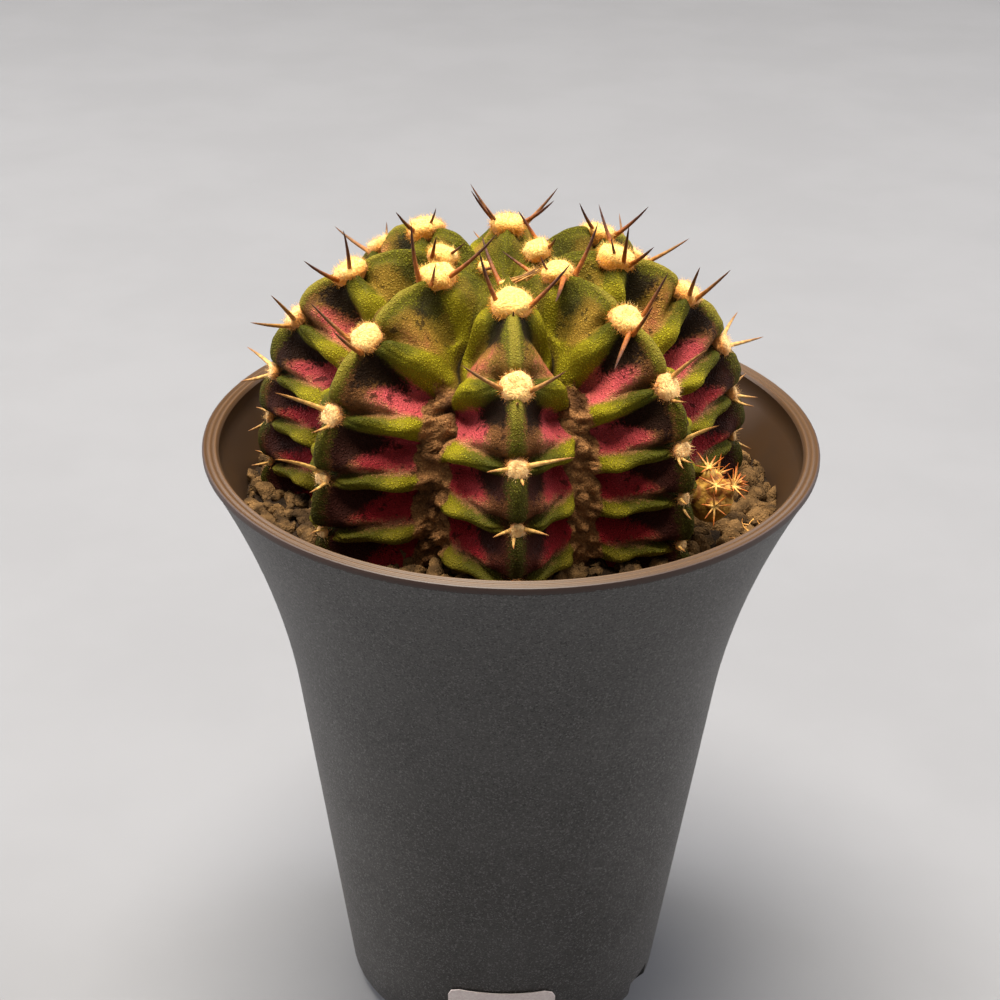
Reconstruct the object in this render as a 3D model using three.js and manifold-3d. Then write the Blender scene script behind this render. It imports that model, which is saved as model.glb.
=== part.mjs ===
// Potted moon cactus: a globular cactus with eight chinned ribs and one dried offset,
// in a flared plastic pot filled with potting mix and topped with gravel.
// Millimetres, +Z up, origin at the centre of the pot's foot, the front of the plant towards -Y.
import * as THREE from "three";
import { mergeVertices } from "three/addons/utils/BufferGeometryUtils.js";
import Module from "manifold-3d";

const wasm = await Module();
wasm.setup();

// Pot
const potHeight = 110;
const rimRadius = 50;
const lipHeight = 1.3;
const lipWidth = 2.4;
const bandDrop = 2.6;
const wallAtRim = 42;
const wallTaper = 0.127;
const flareHeight = 45;
const flareReach = 8.4;
const wallThickness = 1.5;
const footRadius = 26.2;
const footRingWidth = 4;
const footChamfer = 3.5;
const footRecess = 2.2;
const floorThickness = 1.6;
const potSides = 44;

// Drain slots through the corner of the foot
const slotCount = 4;
const slotWidth = 6.4;
const slotHeight = 6.2;
const slotTurn = 61;
const slotOverlap = 1;
const slotBeyond = 5;

// Fill
const seatGap = 0.3;
const seatEase = 0.12;
const gravelTop = potHeight - 11;
const gravelMound = 1.4;
const gravelDepth = 7;

// Cactus: the line of the rib crests, a superellipse above and below the waist, with a sunken crown
const plantCentre = new THREE.Vector2(-1.5, -1.3);
const girthRadius = 37.4;
const waistHeight = potHeight - 6.7;
const crownRise = 37.6;
const crownPower = 2.9;
const rootDrop = 31;
const rootPower = 2.2;
const dimpleDepth = 6;
const dimpleRadius = 6.5;
const crestSamples = 900;

// Furrows: deep and rounded at the crown, with a wide corky floor lower down and none at the root
const furrowDepth = 10;
const furrowStart = 13;
const rootFurrowDepth = 3;
const rootNeck = 12;
const crestRound = 0.12;
const flankRoundness = 0.6;
const cork = { from: 22, full: 38, floorShare: 0.8, rise: 1.6 };
const pinch = { height: 0.2, at: 0.36, width: 0.26 };

// What each areole brings, placed by the share of the way to the next one: a chin that ends in a crease,
// and on either flank a band that runs to a lobe, with a hollow below it and then a belly
const chin = { height: 1.9, power: 0.7, width: 0.3 };
const crease = { height: 2.3, at: 0.91, width: 0.06, onFlank: 0.45, fade: [0.4, 0.7] };
const band = { height: 1.6, above: 0.17, below: 0.12 };
const lobe = { height: 1.9, width: 0.17, across: 0.66, spread: 0.15 };
const hollow = { height: 1.4, at: 0.3, width: 0.13 };
const belly = { height: 1.2, at: 0.66, width: 0.2 };
const flankRise = [0.08, 0.3];
const flankFall = [0.7, 0.9];

// Areoles: spacing along the crest, and the size of the wool by age
const youngArc = 5.2;
const widestSpacing = 18.3;
const spacingLoss = 0.2;
const leastSpacing = 9;
const buriedArc = 66;
const woolAtCrown = 2.6;
const widestWool = 6.6;
const widestWoolArc = 17;
const woolLoss = 0.095;
const leastWool = 2.6;
const woolPlumpness = 0.72;
const woolLift = 0.12;
const woolSides = 7;
const woolTiers = 4;
const spineRadius = 0.42;
const spineBend = 14;
const spineRoot = 0.3;
const slimmestSpine = 0.55;
const slimmingLength = 20;

// Offset low on the shoulder of the front right rib
const offsetRadius = 4.3;
const offsetTurn = 58;
const offsetReach = 37.6;
const offsetHeight = potHeight;
const offsetTubercles = 5;
const offsetTiers = 3;
const offsetLump = 0.12;
const offsetSpines = 12;
const offsetSpineLength = 2.6;
const offsetSpineRadius = 0.25;
const offsetSpineRoot = 0.8;
const offsetSpineReach = 1.25;

// Paper label low on the front of the pot
const labelWidth = 19;
const labelHeight = 12.3;
const labelFoot = 4;
const labelThickness = 0.25;
const labelCorner = 2;

const skinColour = "#7d2f3c";
const woolColour = "#f3dc9c";
const potColour = "#434447";
const mixColour = "#3a2f26";
const gravelColour = "#4f463c";
const offsetColour = "#8a6a35";
const paperColour = "#e9dcd8";

// Each rib: its turn from the front in degrees, the arc from the crown to its first grown areole, how
// its spacing differs from the rest, whether a young areole sits nearer the crown, and the spines of
// each areole from the crown down. A spine is [clock, lean, length]: clock is degrees round the areole
// from the crown side towards the right, lean is degrees off the outward direction, length is in mm.
const ribs = [
  {
    name: "front", turn: 4, first: 19.6, stretch: 1, young: true,
    spines: [
      [[-70, 25, 9]],
      [[-70, 30, 9], [95, 45, 10], [180, 60, 2.5]],
      [[-80, 55, 9], [90, 40, 9], [180, 45, 3]],
      [[-85, 50, 5], [70, 55, 9], [160, 30, 3]],
      [[-85, 50, 4], [75, 45, 5.5], [-155, 30, 3]],
      [[-80, 50, 4], [80, 50, 4]],
    ],
  },
  {
    name: "front_right", turn: 47, first: 12.7, stretch: 0.88, young: false,
    spines: [
      [[140, 35, 9], [-130, 100, 9], [-60, 40, 3]],
      [[90, 20, 9], [-145, 25, 8], [-125, 95, 10]],
      [[25, 20, 9], [-160, 30, 4]],
      [[5, 30, 8], [-125, 60, 3], [-140, 30, 3]],
      [[-70, 45, 4], [-150, 50, 3]],
      [[-70, 50, 3]],
    ],
  },
  {
    name: "right", turn: 92.5, first: 18.5, stretch: 0.87, young: true,
    spines: [
      [[60, 40, 6]],
      [[-55, 30, 4.5], [-85, 38, 9], [-115, 55, 9], [60, 50, 8]],
      [[-60, 55, 9], [-95, 30, 9]],
      [[85, 65, 8], [125, 50, 9]],
      [[75, 55, 4.5], [135, 40, 5.5], [-130, 50, 3.5]],
      [[90, 60, 3], [155, 45, 4.5]],
    ],
  },
  {
    name: "back_right", turn: 135.5, first: 8.8, stretch: 0.85, young: false,
    spines: [
      [[-100, 50, 5], [120, 45, 6]],
      [[-10, 65, 8], [-95, 50, 9]],
      [[-85, 50, 9], [80, 50, 9], [180, 40, 3]],
      [[-80, 55, 7], [85, 50, 8]],
      [[-80, 50, 5], [80, 50, 5]],
      [[-80, 50, 4], [80, 50, 4]],
    ],
  },
  {
    name: "back", turn: 178, first: 14.7, stretch: 0.97, young: false,
    spines: [
      [[45, 45, 5], [-55, 60, 9], [60, 45, 8]],
      [[-75, 50, 9], [80, 45, 9], [180, 45, 3]],
      [[-80, 50, 8], [75, 50, 9]],
      [[-85, 50, 6], [80, 50, 5]],
      [[-80, 50, 4], [80, 50, 4]],
    ],
  },
  {
    name: "back_left", turn: -135, first: 19.4, stretch: 0.84, young: true,
    spines: [
      [[40, 35, 5]],
      [[10, 45, 4.5], [65, 65, 9]],
      [[160, 40, 9], [-105, 40, 5]],
      [[-80, 50, 8], [80, 50, 8]],
      [[-80, 50, 5], [85, 50, 6]],
      [[-80, 50, 4], [80, 50, 4]],
    ],
  },
  {
    name: "left", turn: -89, first: 11.1, stretch: 0.89, young: false,
    spines: [
      [[110, 45, 6], [35, 35, 4]],
      [[50, 30, 8], [120, 50, 9]],
      [[60, 55, 9], [100, 50, 9]],
      [[-95, 60, 9], [-135, 60, 9]],
      [[-85, 50, 3], [-155, 50, 5]],
      [[-80, 50, 3.5], [80, 50, 3.5]],
    ],
  },
  {
    name: "front_left", turn: -45, first: 15.3, stretch: 1, young: false,
    spines: [
      [[-150, 15, 9.5], [60, 55, 11], [135, 20, 3]],
      [[-105, 25, 9.5], [145, 25, 9]],
      [[-65, 25, 9], [155, 25, 4.5]],
      [[-15, 32, 9], [115, 20, 4]],
      [[35, 30, 3]],
    ],
  },
];

const radians = THREE.MathUtils.degToRad;
const smooth = THREE.MathUtils.smoothstep;
const up = new THREE.Vector3(0, 0, 1);

// A heading round the vertical axis: 0 faces the front and positive turns run to the right.
function heading(turn) {
  return new THREE.Vector3(Math.sin(turn), -Math.cos(turn), 0);
}

function solidFrom(geometry) {
  const bare = geometry.clone();
  bare.deleteAttribute("normal");
  bare.deleteAttribute("uv");
  const merged = mergeVertices(bare, 1e-4);
  return new wasm.Manifold(
    new wasm.Mesh({
      numProp: 3,
      vertProperties: new Float32Array(merged.attributes.position.array),
      triVerts: new Uint32Array(merged.index.array),
    }),
  );
}

function geometryFrom(solid) {
  const mesh = solid.getMesh();
  const geometry = new THREE.BufferGeometry();
  geometry.setAttribute("position", new THREE.BufferAttribute(mesh.vertProperties.slice(), 3));
  geometry.setIndex(new THREE.BufferAttribute(mesh.triVerts.slice(), 1));
  geometry.computeVertexNormals();
  return geometry;
}

function largestPiece(solid) {
  return solid.decompose().reduce((best, one) => (one.volume() > best.volume() ? one : best));
}

function piece(name, geometry, colour, roughness) {
  const material = new THREE.MeshStandardMaterial({ color: colour, roughness, metalness: 0 });
  const mesh = new THREE.Mesh(geometry, material);
  mesh.name = name;
  return mesh;
}

// A closed skin over rings stacked from the start point down to the end point. Seen from the start,
// each ring runs anticlockwise.
function ringSkin(startPoint, rings, endPoint) {
  const sides = rings[0].length;
  const points = [startPoint, ...rings.flat(), endPoint];
  const faces = [];
  const last = points.length - 1;
  for (let i = 0; i < sides; i++) {
    const next = (i + 1) % sides;
    faces.push(0, 1 + i, 1 + next);
    for (let row = 0; row + 1 < rings.length; row++) {
      const here = 1 + row * sides;
      const below = here + sides;
      faces.push(here + i, below + i, here + next, here + next, below + i, below + next);
    }
    const end = 1 + (rings.length - 1) * sides;
    faces.push(end + i, last, end + next);
  }
  const geometry = new THREE.BufferGeometry().setFromPoints(points);
  geometry.setIndex(faces);
  geometry.computeVertexNormals();
  return geometry;
}

// Pot

function wallRadius(height) {
  const below = potHeight - height;
  const flare = Math.max(0, 1 - below / flareHeight) ** 2;
  return wallAtRim - wallTaper * below + flareReach * flare;
}

function innerRadius(height) {
  return wallRadius(height) - wallThickness;
}

function turned(outline, sides) {
  const profile = outline.map(([radius, height]) => new THREE.Vector2(radius, height));
  return new THREE.LatheGeometry(profile, sides).rotateX(Math.PI / 2);
}

// Heights down the flare, closer together near the rim, and then the straight part of the wall.
function wallHeights(highest, lowest) {
  const steps = 4;
  const heights = [];
  for (let i = 0; i <= steps; i++) {
    heights.push(highest - (flareHeight * (i / steps) ** 1.4));
  }
  heights.push(lowest);
  return heights;
}

function makePot() {
  const floorTop = footRecess + floorThickness;
  const lipFoot = potHeight - lipHeight;
  const lipInner = rimRadius - lipWidth;
  const lipEase = 0.35;
  const outside = wallHeights(lipFoot, footChamfer).map((z) => [wallRadius(z), z]);
  const inside = wallHeights(potHeight - bandDrop, floorTop).map((z) => [innerRadius(z), z]);
  const ringInner = footRadius - footRingWidth;
  const shell = turned(
    [
      [0, footRecess],
      [ringInner, footRecess],
      [ringInner, 0],
      [footRadius, 0],
      ...outside.reverse(),
      [rimRadius - lipEase, lipFoot],
      [rimRadius, lipFoot + lipEase],
      [rimRadius, potHeight - lipEase],
      [rimRadius - lipEase, potHeight],
      [lipInner, potHeight],
      [lipInner - lipEase, potHeight - lipEase],
      ...inside,
      [0, floorTop],
    ],
    potSides,
  );
  let pot = solidFrom(shell);
  const slotReach = slotOverlap + footRingWidth + slotBeyond;
  for (let i = 0; i < slotCount; i++) {
    const turn = radians(slotTurn + (i * 360) / slotCount);
    const slot = new THREE.BoxGeometry(slotReach, slotWidth, 2 * slotHeight);
    slot.translate(ringInner - slotOverlap + slotReach / 2, 0, 0);
    slot.rotateZ(turn - Math.PI / 2);
    pot = pot.subtract(solidFrom(slot));
  }
  return pot;
}

// Crest line of the cactus

function crestLine() {
  const line = [];
  let arc = 0;
  for (let i = 0; i <= crestSamples; i++) {
    const angle = (Math.PI * i) / crestSamples;
    const upper = angle < Math.PI / 2;
    const power = 2 / (upper ? crownPower : rootPower);
    const radius = girthRadius * Math.max(0, Math.sin(angle)) ** power;
    const rise = (upper ? crownRise : -rootDrop) * Math.abs(Math.cos(angle)) ** power;
    const dimple = upper ? dimpleDepth * Math.exp(-((radius / dimpleRadius) ** 2)) : 0;
    const point = { radius, height: waistHeight + rise - dimple, arc };
    if (i > 0) {
      const before = line[i - 1];
      arc += Math.hypot(radius - before.radius, point.height - before.height);
      point.arc = arc;
    }
    line.push(point);
  }
  return line;
}

const crest = crestLine();
const crestLength = crest[crestSamples].arc;

function onCrest(arc) {
  let low = 0;
  let high = crestSamples;
  while (high - low > 1) {
    const middle = (low + high) >> 1;
    if (crest[middle].arc <= arc) low = middle;
    else high = middle;
  }
  const a = crest[low];
  const b = crest[high];
  const share = THREE.MathUtils.clamp((arc - a.arc) / (b.arc - a.arc), 0, 1);
  return [
    THREE.MathUtils.lerp(a.radius, b.radius, share),
    THREE.MathUtils.lerp(a.height, b.height, share),
  ];
}

// The crest at an arc from the crown: its point, and the outward and upward directions there.
function crestFrame(arc, turn) {
  const step = 0.6;
  const [radius, height] = onCrest(arc);
  const [r0, z0] = onCrest(arc - step);
  const [r1, z1] = onCrest(arc + step);
  const out = heading(turn);
  const normal = out.clone().multiplyScalar(z0 - z1).addScaledVector(up, r1 - r0).normalize();
  const side = new THREE.Vector3(Math.cos(turn), Math.sin(turn), 0);
  const upward = new THREE.Vector3().crossVectors(normal, side).normalize();
  const point = out.multiplyScalar(radius).addScaledVector(up, height);
  point.x += plantCentre.x;
  point.y += plantCentre.y;
  return { point, normal, side, upward };
}

// Ribs

function grownArcs(rib) {
  const arcs = rib.young ? [youngArc] : [];
  let arc = rib.first;
  while (arc < crestLength) {
    arcs.push(arc);
    arc += rib.stretch * Math.max(leastSpacing, widestSpacing - spacingLoss * arc);
  }
  return arcs;
}

// Where an arc lies between two areoles: 0 at the upper one and 1 at the lower one.
function chinPhase(rib, arc) {
  const arcs = grownArcs(rib);
  const after = arcs.findIndex((one) => one > arc);
  if (after < 0) return 0;
  const before = after === 0 ? arcs[0] - 2 * youngArc : arcs[after - 1];
  return Math.max(0, (arc - before) / (arcs[after] - before));
}

function bump(value, centre, width) {
  return Math.exp(-(((value - centre) / width) ** 2));
}

function wave(shape, phase) {
  return shape.height * bump(phase, shape.at, shape.width);
}

// How far the skin lies inside the crest line, at a place across the rib (0 crest, 1 furrow).
function skinDepth(rib, across, arc) {
  const [radius] = onCrest(arc);
  const opening = 1 - Math.exp(-((radius / furrowStart) ** 2));
  const rooting = smooth(arc, buriedArc, crestLength - rootNeck);
  const corky = smooth(arc, cork.from, cork.full);
  const phase = chinPhase(rib, arc);
  const flankEnd = 1 - (1 - cork.floorShare) * corky;
  const reach = Math.min(1, (across * (1 + corky * wave(pinch, phase))) / flankEnd);
  const straight =
    (Math.hypot(reach, crestRound) - crestRound) / (Math.hypot(1, crestRound) - crestRound);
  const rounded = 0.5 - 0.5 * Math.cos(Math.PI * reach);
  const section = THREE.MathUtils.lerp(straight, rounded, flankRoundness);
  const furrow = THREE.MathUtils.lerp(furrowDepth, rootFurrowDepth, rooting) * opening;
  const floor = furrow - cork.rise * corky * (1 - rooting);
  const creased = wave(crease, phase);
  const top = chin.height * Math.sin(Math.PI * phase) ** chin.power - creased;
  const pastAreole = phase < 0.5 ? phase : phase - 1;
  const rolled = band.height * bump(pastAreole, 0, pastAreole < 0 ? band.above : band.below);
  const lobed = lobe.height * bump(pastAreole, 0, lobe.width) * bump(across, lobe.across, lobe.spread);
  const creaseLeft = crease.onFlank * (1 - smooth(across, ...crease.fade));
  const flank = rolled + lobed + wave(belly, phase) - wave(hollow, phase) - creaseLeft * creased;
  const onFlank = smooth(across, ...flankRise) * (1 - smooth(across, ...flankFall));
  const raised = bump(across, 0, chin.width) * top + onFlank * flank;
  return floor * section - opening * (1 - rooting) * raised;
}

function skinPoint(column, row) {
  const shared = column.across ** 4 / 2;
  const arc = THREE.MathUtils.lerp(rowArcs(column.rib)[row], rowArcs(column.beside)[row], shared);
  const { point, normal } = crestFrame(arc, column.turn);
  return point.addScaledVector(normal, -skinDepth(column.rib, Math.abs(column.across), arc));
}

function halfPitch(rib, other) {
  return THREE.MathUtils.euclideanModulo(other.turn - rib.turn, 360) / 2;
}

// Columns from furrow to furrow over each rib. Near a furrow they share the rows of the rib beside it.
function skinColumns() {
  const flank = [0.3, 0.6, 0.84];
  const columns = [];
  ribs.forEach((rib, i) => {
    const after = ribs[(i + 1) % ribs.length];
    const before = ribs[(i + ribs.length - 1) % ribs.length];
    const right = halfPitch(rib, after);
    const left = halfPitch(before, rib);
    for (const place of [...flank].reverse()) {
      columns.push({ rib, beside: before, across: -place, turn: radians(rib.turn - left * place) });
    }
    for (const place of [0, ...flank, 1]) {
      columns.push({ rib, beside: after, across: place, turn: radians(rib.turn + right * place) });
    }
  });
  return columns;
}

// The arc of each row down a rib: a few rows in every chin, then wider ones to the root.
function rowArcs(rib) {
  const grownChins = 6;
  const chinRows = [0, 0.15, 0.34, 0.64, 0.89];
  const rootRows = [0, 0.3, 0.6, 0.88];
  const arcs = grownArcs(rib);
  const rows = [0.35, 0.7].map((share) => share * arcs[0]);
  for (let i = 0; i < grownChins; i++) {
    for (const share of chinRows) rows.push(THREE.MathUtils.lerp(arcs[i], arcs[i + 1], share));
  }
  for (const share of rootRows) {
    rows.push(THREE.MathUtils.lerp(arcs[grownChins], crestLength, share));
  }
  return rows;
}

function makeSkin() {
  const columns = skinColumns();
  const rings = rowArcs(ribs[0]).map((_, row) => columns.map((column) => skinPoint(column, row)));
  const crown = crestFrame(0, 0).point;
  const root = crestFrame(crestLength, 0).point;
  return ringSkin(crown, rings, root);
}

// The same skin a little larger, which cuts the seat of everything that lies against the plant.
function grown(geometry, distance) {
  const larger = geometry.clone();
  const places = larger.getAttribute("position");
  const normals = geometry.getAttribute("normal");
  const point = new THREE.Vector3();
  const normal = new THREE.Vector3();
  for (let i = 0; i < places.count; i++) {
    point.fromBufferAttribute(places, i);
    normal.fromBufferAttribute(normals, i);
    point.addScaledVector(normal, distance);
    places.setXYZ(i, point.x, point.y, point.z);
  }
  return larger;
}

// Areoles

// A tapered spine with three sides that bends a little towards the crown side of its areole.
function spineGeometry(base, direction, bendTowards, length, radius) {
  const sides = 3;
  const stations = [[0, 1], [0.55, 0.8]];
  const bend = Math.tan(radians(spineBend)) * 0.5;
  const along = (share) =>
    base
      .clone()
      .addScaledVector(direction, share * length)
      .addScaledVector(bendTowards, bend * length * share * share);
  const across = new THREE.Vector3().crossVectors(direction, bendTowards).normalize();
  const other = new THREE.Vector3().crossVectors(across, direction).normalize();
  const rings = stations.map(([share, size]) =>
    Array.from({ length: sides }, (_, i) => {
      const angle = (2 * Math.PI * i) / sides;
      return along(share)
        .addScaledVector(across, Math.cos(angle) * radius * size)
        .addScaledVector(other, Math.sin(angle) * radius * size);
    }),
  );
  return ringSkin(along(0), rings, along(1));
}

function woolWidth(arc) {
  if (arc < widestWoolArc / 2) return woolAtCrown;
  const full = Math.max(leastWool, widestWool - woolLoss * Math.max(0, arc - widestWoolArc));
  return Math.min(full, THREE.MathUtils.lerp(woolAtCrown, widestWool, arc / widestWoolArc));
}

function makeAreole(rib, arc, spines, seat) {
  const { point, normal, side, upward } = crestFrame(arc, radians(rib.turn));
  const width = woolWidth(arc);
  const centre = point.clone().addScaledVector(normal, woolLift * width);
  const wool = new THREE.SphereGeometry(width / 2, woolSides, woolTiers);
  wool.rotateX(Math.PI / 2);
  wool.scale(1, 1, woolPlumpness);
  wool.applyMatrix4(new THREE.Matrix4().makeBasis(side, upward, normal).setPosition(centre));
  let areole = solidFrom(wool);
  for (const [clock, lean, length] of spines) {
    const sideways = side.clone().multiplyScalar(Math.sin(radians(clock)));
    sideways.addScaledVector(upward, Math.cos(radians(clock)));
    const direction = normal.clone().multiplyScalar(Math.cos(radians(lean)));
    direction.addScaledVector(sideways, Math.sin(radians(lean)));
    const towards = normal.clone().addScaledVector(direction, -normal.dot(direction)).normalize();
    const base = centre.clone().addScaledVector(sideways, spineRoot * width);
    const thickness = spineRadius * Math.min(1, slimmestSpine + length / slimmingLength);
    areole = areole.add(solidFrom(spineGeometry(base, direction, towards, length, thickness)));
  }
  return largestPiece(areole.subtract(seat));
}

function makeAreoles(seat) {
  const made = [];
  for (const rib of ribs) {
    const arcs = grownArcs(rib).filter((arc) => arc < buriedArc);
    arcs.forEach((arc, i) => {
      const spines = rib.spines[Math.min(i, rib.spines.length - 1)];
      made.push({ name: `areole_${rib.name}_${i + 1}`, solid: makeAreole(rib, arc, spines, seat) });
    });
  }
  return made;
}

// Offset

function makeOffset(seat) {
  const centre = heading(radians(offsetTurn)).multiplyScalar(offsetReach);
  centre.set(centre.x + plantCentre.x, centre.y + plantCentre.y, offsetHeight);
  const globe = new THREE.SphereGeometry(offsetRadius, 14, 9);
  globe.rotateX(Math.PI / 2);
  const places = globe.getAttribute("position");
  const point = new THREE.Vector3();
  for (let i = 0; i < places.count; i++) {
    point.fromBufferAttribute(places, i);
    const turn = Math.atan2(point.y, point.x);
    const rise = THREE.MathUtils.clamp(point.z / offsetRadius, -1, 1);
    const tier = Math.cos(offsetTiers * Math.asin(rise)) * (1 - rise * rise);
    point.multiplyScalar(1 + offsetLump * Math.cos(offsetTubercles * turn) * tier);
    places.setXYZ(i, point.x, point.y, point.z);
  }
  globe.translate(centre.x, centre.y, centre.z);
  let offset = solidFrom(globe);
  const golden = Math.PI * (3 - Math.sqrt(5));
  for (let i = 0; i < offsetSpines; i++) {
    const rise = 1 - (offsetSpineReach * (i + 0.5)) / offsetSpines;
    const flat = Math.sqrt(1 - rise * rise);
    const turn = i * golden;
    const direction = new THREE.Vector3(flat * Math.cos(turn), flat * Math.sin(turn), rise);
    const base = centre.clone().addScaledVector(direction, offsetSpineRoot * offsetRadius);
    const reach = offsetSpineLength + (1 - offsetSpineRoot) * offsetRadius;
    const towards = new THREE.Vector3().crossVectors(direction, heading(turn)).normalize();
    offset = offset.add(solidFrom(spineGeometry(base, direction, towards, reach, offsetSpineRadius)));
  }
  return largestPiece(offset.subtract(seat));
}

// Fill: it follows the inside of the wall between two heights, and the seat of the plant is cut out

function fillSolid(bottom, top, surface, seat) {
  const floorTop = footRecess + floorThickness;
  const between = wallHeights(potHeight - bandDrop, floorTop).filter((z) => z > bottom && z < top);
  const wall = [bottom, ...between.reverse(), top].map((z) => [innerRadius(z) - seatGap, z]);
  const outline = [[0, bottom], ...wall, ...surface, [0, top]];
  return largestPiece(solidFrom(turned(outline, potSides)).subtract(seat));
}

function makePottingMix(seat) {
  const bottom = footRecess + floorThickness + seatGap;
  return fillSolid(bottom, gravelTop - gravelDepth - seatGap, [], seat);
}

function makeGravel(seat) {
  const mound = [1, 0.5].map((share) => [share * girthRadius, gravelTop + gravelMound]);
  return fillSolid(gravelTop - gravelDepth, gravelTop, mound, seat);
}

// Label: a thin sheet that follows the wall, with rounded corners

function makeLabel() {
  const columns = 8;
  const rows = [1, 0.95, 0.85, 0.5, 0.15, 0.05, 0];
  const sheet = (lift) =>
    rows.map((share) => {
      const height = labelFoot + share * labelHeight;
      const edge = Math.min(share, 1 - share) * labelHeight;
      const inset = edge < labelCorner ? labelCorner - Math.sqrt(edge * (2 * labelCorner - edge)) : 0;
      const radius = wallRadius(height) + seatGap + lift;
      return Array.from({ length: columns + 1 }, (_, i) => {
        const offCentre = (labelWidth / 2 - inset) * (2 * (i / columns) - 1);
        return heading(offCentre / radius).multiplyScalar(radius).setZ(height);
      });
    });
  const front = sheet(labelThickness);
  const back = sheet(0);
  const rings = front.map((row, i) => [...row, ...back[i].reverse()]);
  const middle = (ring) => ring[0].clone().add(ring[columns]).multiplyScalar(0.5);
  const first = middle(rings[0]).lerp(rings[0][columns / 2], 0.99);
  const end = middle(rings[rows.length - 1]).lerp(rings[rows.length - 1][columns / 2], 0.99);
  return ringSkin(first, rings, end);
}

// Assembly

const skin = makeSkin();
const seat = solidFrom(grown(skin, seatGap + seatEase));
const plant = new THREE.Group();
const holder = new THREE.Group();

plant.add(piece("cactus_body", skin, skinColour, 0.75));
for (const { name, solid } of makeAreoles(seat)) {
  plant.add(piece(name, geometryFrom(solid), woolColour, 0.95));
}
plant.add(piece("dried_offset", geometryFrom(makeOffset(seat)), offsetColour, 0.9));

holder.add(piece("pot", geometryFrom(makePot()), potColour, 0.6));
holder.add(piece("potting_mix", geometryFrom(makePottingMix(seat)), mixColour, 1));
holder.add(piece("gravel_bed", geometryFrom(makeGravel(seat)), gravelColour, 0.9));
holder.add(piece("blank_label", makeLabel(), paperColour, 0.85));

const part = new THREE.Group();
part.add(holder, plant);

export default part;
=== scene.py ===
import math
import bpy
import numpy as np
from mathutils import Matrix, Vector, noise


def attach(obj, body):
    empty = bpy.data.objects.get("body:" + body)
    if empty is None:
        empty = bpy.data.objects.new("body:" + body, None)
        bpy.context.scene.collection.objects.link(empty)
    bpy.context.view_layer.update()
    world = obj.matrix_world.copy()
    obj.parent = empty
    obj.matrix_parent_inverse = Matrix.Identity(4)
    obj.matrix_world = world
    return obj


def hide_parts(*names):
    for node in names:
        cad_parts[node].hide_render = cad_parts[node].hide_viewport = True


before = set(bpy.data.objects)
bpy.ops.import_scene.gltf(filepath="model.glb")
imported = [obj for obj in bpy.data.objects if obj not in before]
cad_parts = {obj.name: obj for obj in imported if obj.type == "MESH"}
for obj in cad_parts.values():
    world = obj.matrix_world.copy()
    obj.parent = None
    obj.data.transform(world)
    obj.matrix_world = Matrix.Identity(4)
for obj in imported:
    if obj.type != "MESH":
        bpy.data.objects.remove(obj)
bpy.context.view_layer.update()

mm = 0.001  # tables are in millimetres, the scene is in metres
print("frame loaded:", len(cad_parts), "nodes")


# Small helpers

def rgb(*channels):
    shares = [channel / 255 for channel in channels]
    return (*(s / 12.92 if s <= 0.04045 else ((s + 0.055) / 1.055) ** 2.4 for s in shares), 1.0)


def smoothStep(value, low, high):
    # 0 at low and 1 at high, which may also be the smaller of the two
    share = np.clip((value - low) / (high - low), 0, 1)
    return share * share * (3 - 2 * share)


def fade(value, *span):
    # two numbers are a step from 0 to 1, and four a band that rises and falls again
    if len(span) == 2:
        return smoothStep(value, *span)
    return smoothStep(value, *span[:2]) * (1 - smoothStep(value, *span[2:]))


def hump(value, centre, width):
    return np.exp(-(((value - centre) / width) ** 2))


def roll(value, above, below):
    # a fat round ridge, with its own width on each side
    return np.exp(-np.abs(value / np.where(value < 0, above, below)) ** 3)


def unit(vectors):
    return vectors / np.linalg.norm(vectors, axis=-1, keepdims=True)


def addPiece(name, mesh):
    piece = bpy.data.objects.new(name, mesh)
    bpy.context.scene.collection.objects.link(piece)
    return piece


def makeMesh(name, points, faces=(), edges=()):
    mesh = bpy.data.meshes.new(name)
    mesh.from_pydata((np.asarray(points, float) * mm).tolist(), edges, faces)
    mesh.validate()
    mesh.shade_smooth()
    return addPiece(name, mesh)


def storeValues(piece, name, values):
    layer = piece.data.attributes.new(name, "FLOAT", "POINT")
    layer.data.foreach_set("value", np.asarray(values, np.float32).ravel())


def sphereWay(angle, turn):
    return np.array([math.cos(turn) * math.sin(angle), math.sin(turn) * math.sin(angle), math.cos(angle)])


def onGlobe(tiers, sides, place):
    # what `place` gives for the upper pole, each ring below it and the lower pole
    turns = np.arange(sides) * 2 * math.pi / sides
    rings = [(angle, turn) for angle in np.linspace(0, math.pi, tiers + 1)[1:-1] for turn in turns]
    return zip(*[place(*spot) for spot in ((0, 0), *rings, (math.pi, 0))])


def globeFaces(rings, sides, first=0):
    # quads from ring to ring and triangles at both poles, all facing out
    starts = [first + 1 + ring * sides for ring in range(rings)]
    last = first + 1 + rings * sides
    faces = []
    for i in range(sides):
        j = (i + 1) % sides
        faces.append((first, starts[0] + i, starts[0] + j))
        faces += [(here + i, below + i, below + j, here + j) for here, below in zip(starts, starts[1:])]
        faces.append((starts[-1] + i, last, starts[-1] + j))
    return faces


# Nodes: makeNode gives the node and addNode one of its outputs

bench = {"tree": None}  # the node tree that is being built


def setSocket(socket, value):
    if isinstance(value, bpy.types.NodeSocket):
        bench["tree"].links.new(value, socket)
    else:
        socket.default_value = value


def makeNode(kind, sockets=None, **settings):
    node = bench["tree"].nodes.new(kind)
    for key, value in settings.items():
        setattr(node, key, value)
    for key, value in (sockets or {}).items():
        setSocket(node.inputs[key], value)
    return node


def addNode(kind, sockets=None, out=0, **settings):
    return makeNode(kind, sockets, **settings).outputs[out]


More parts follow.
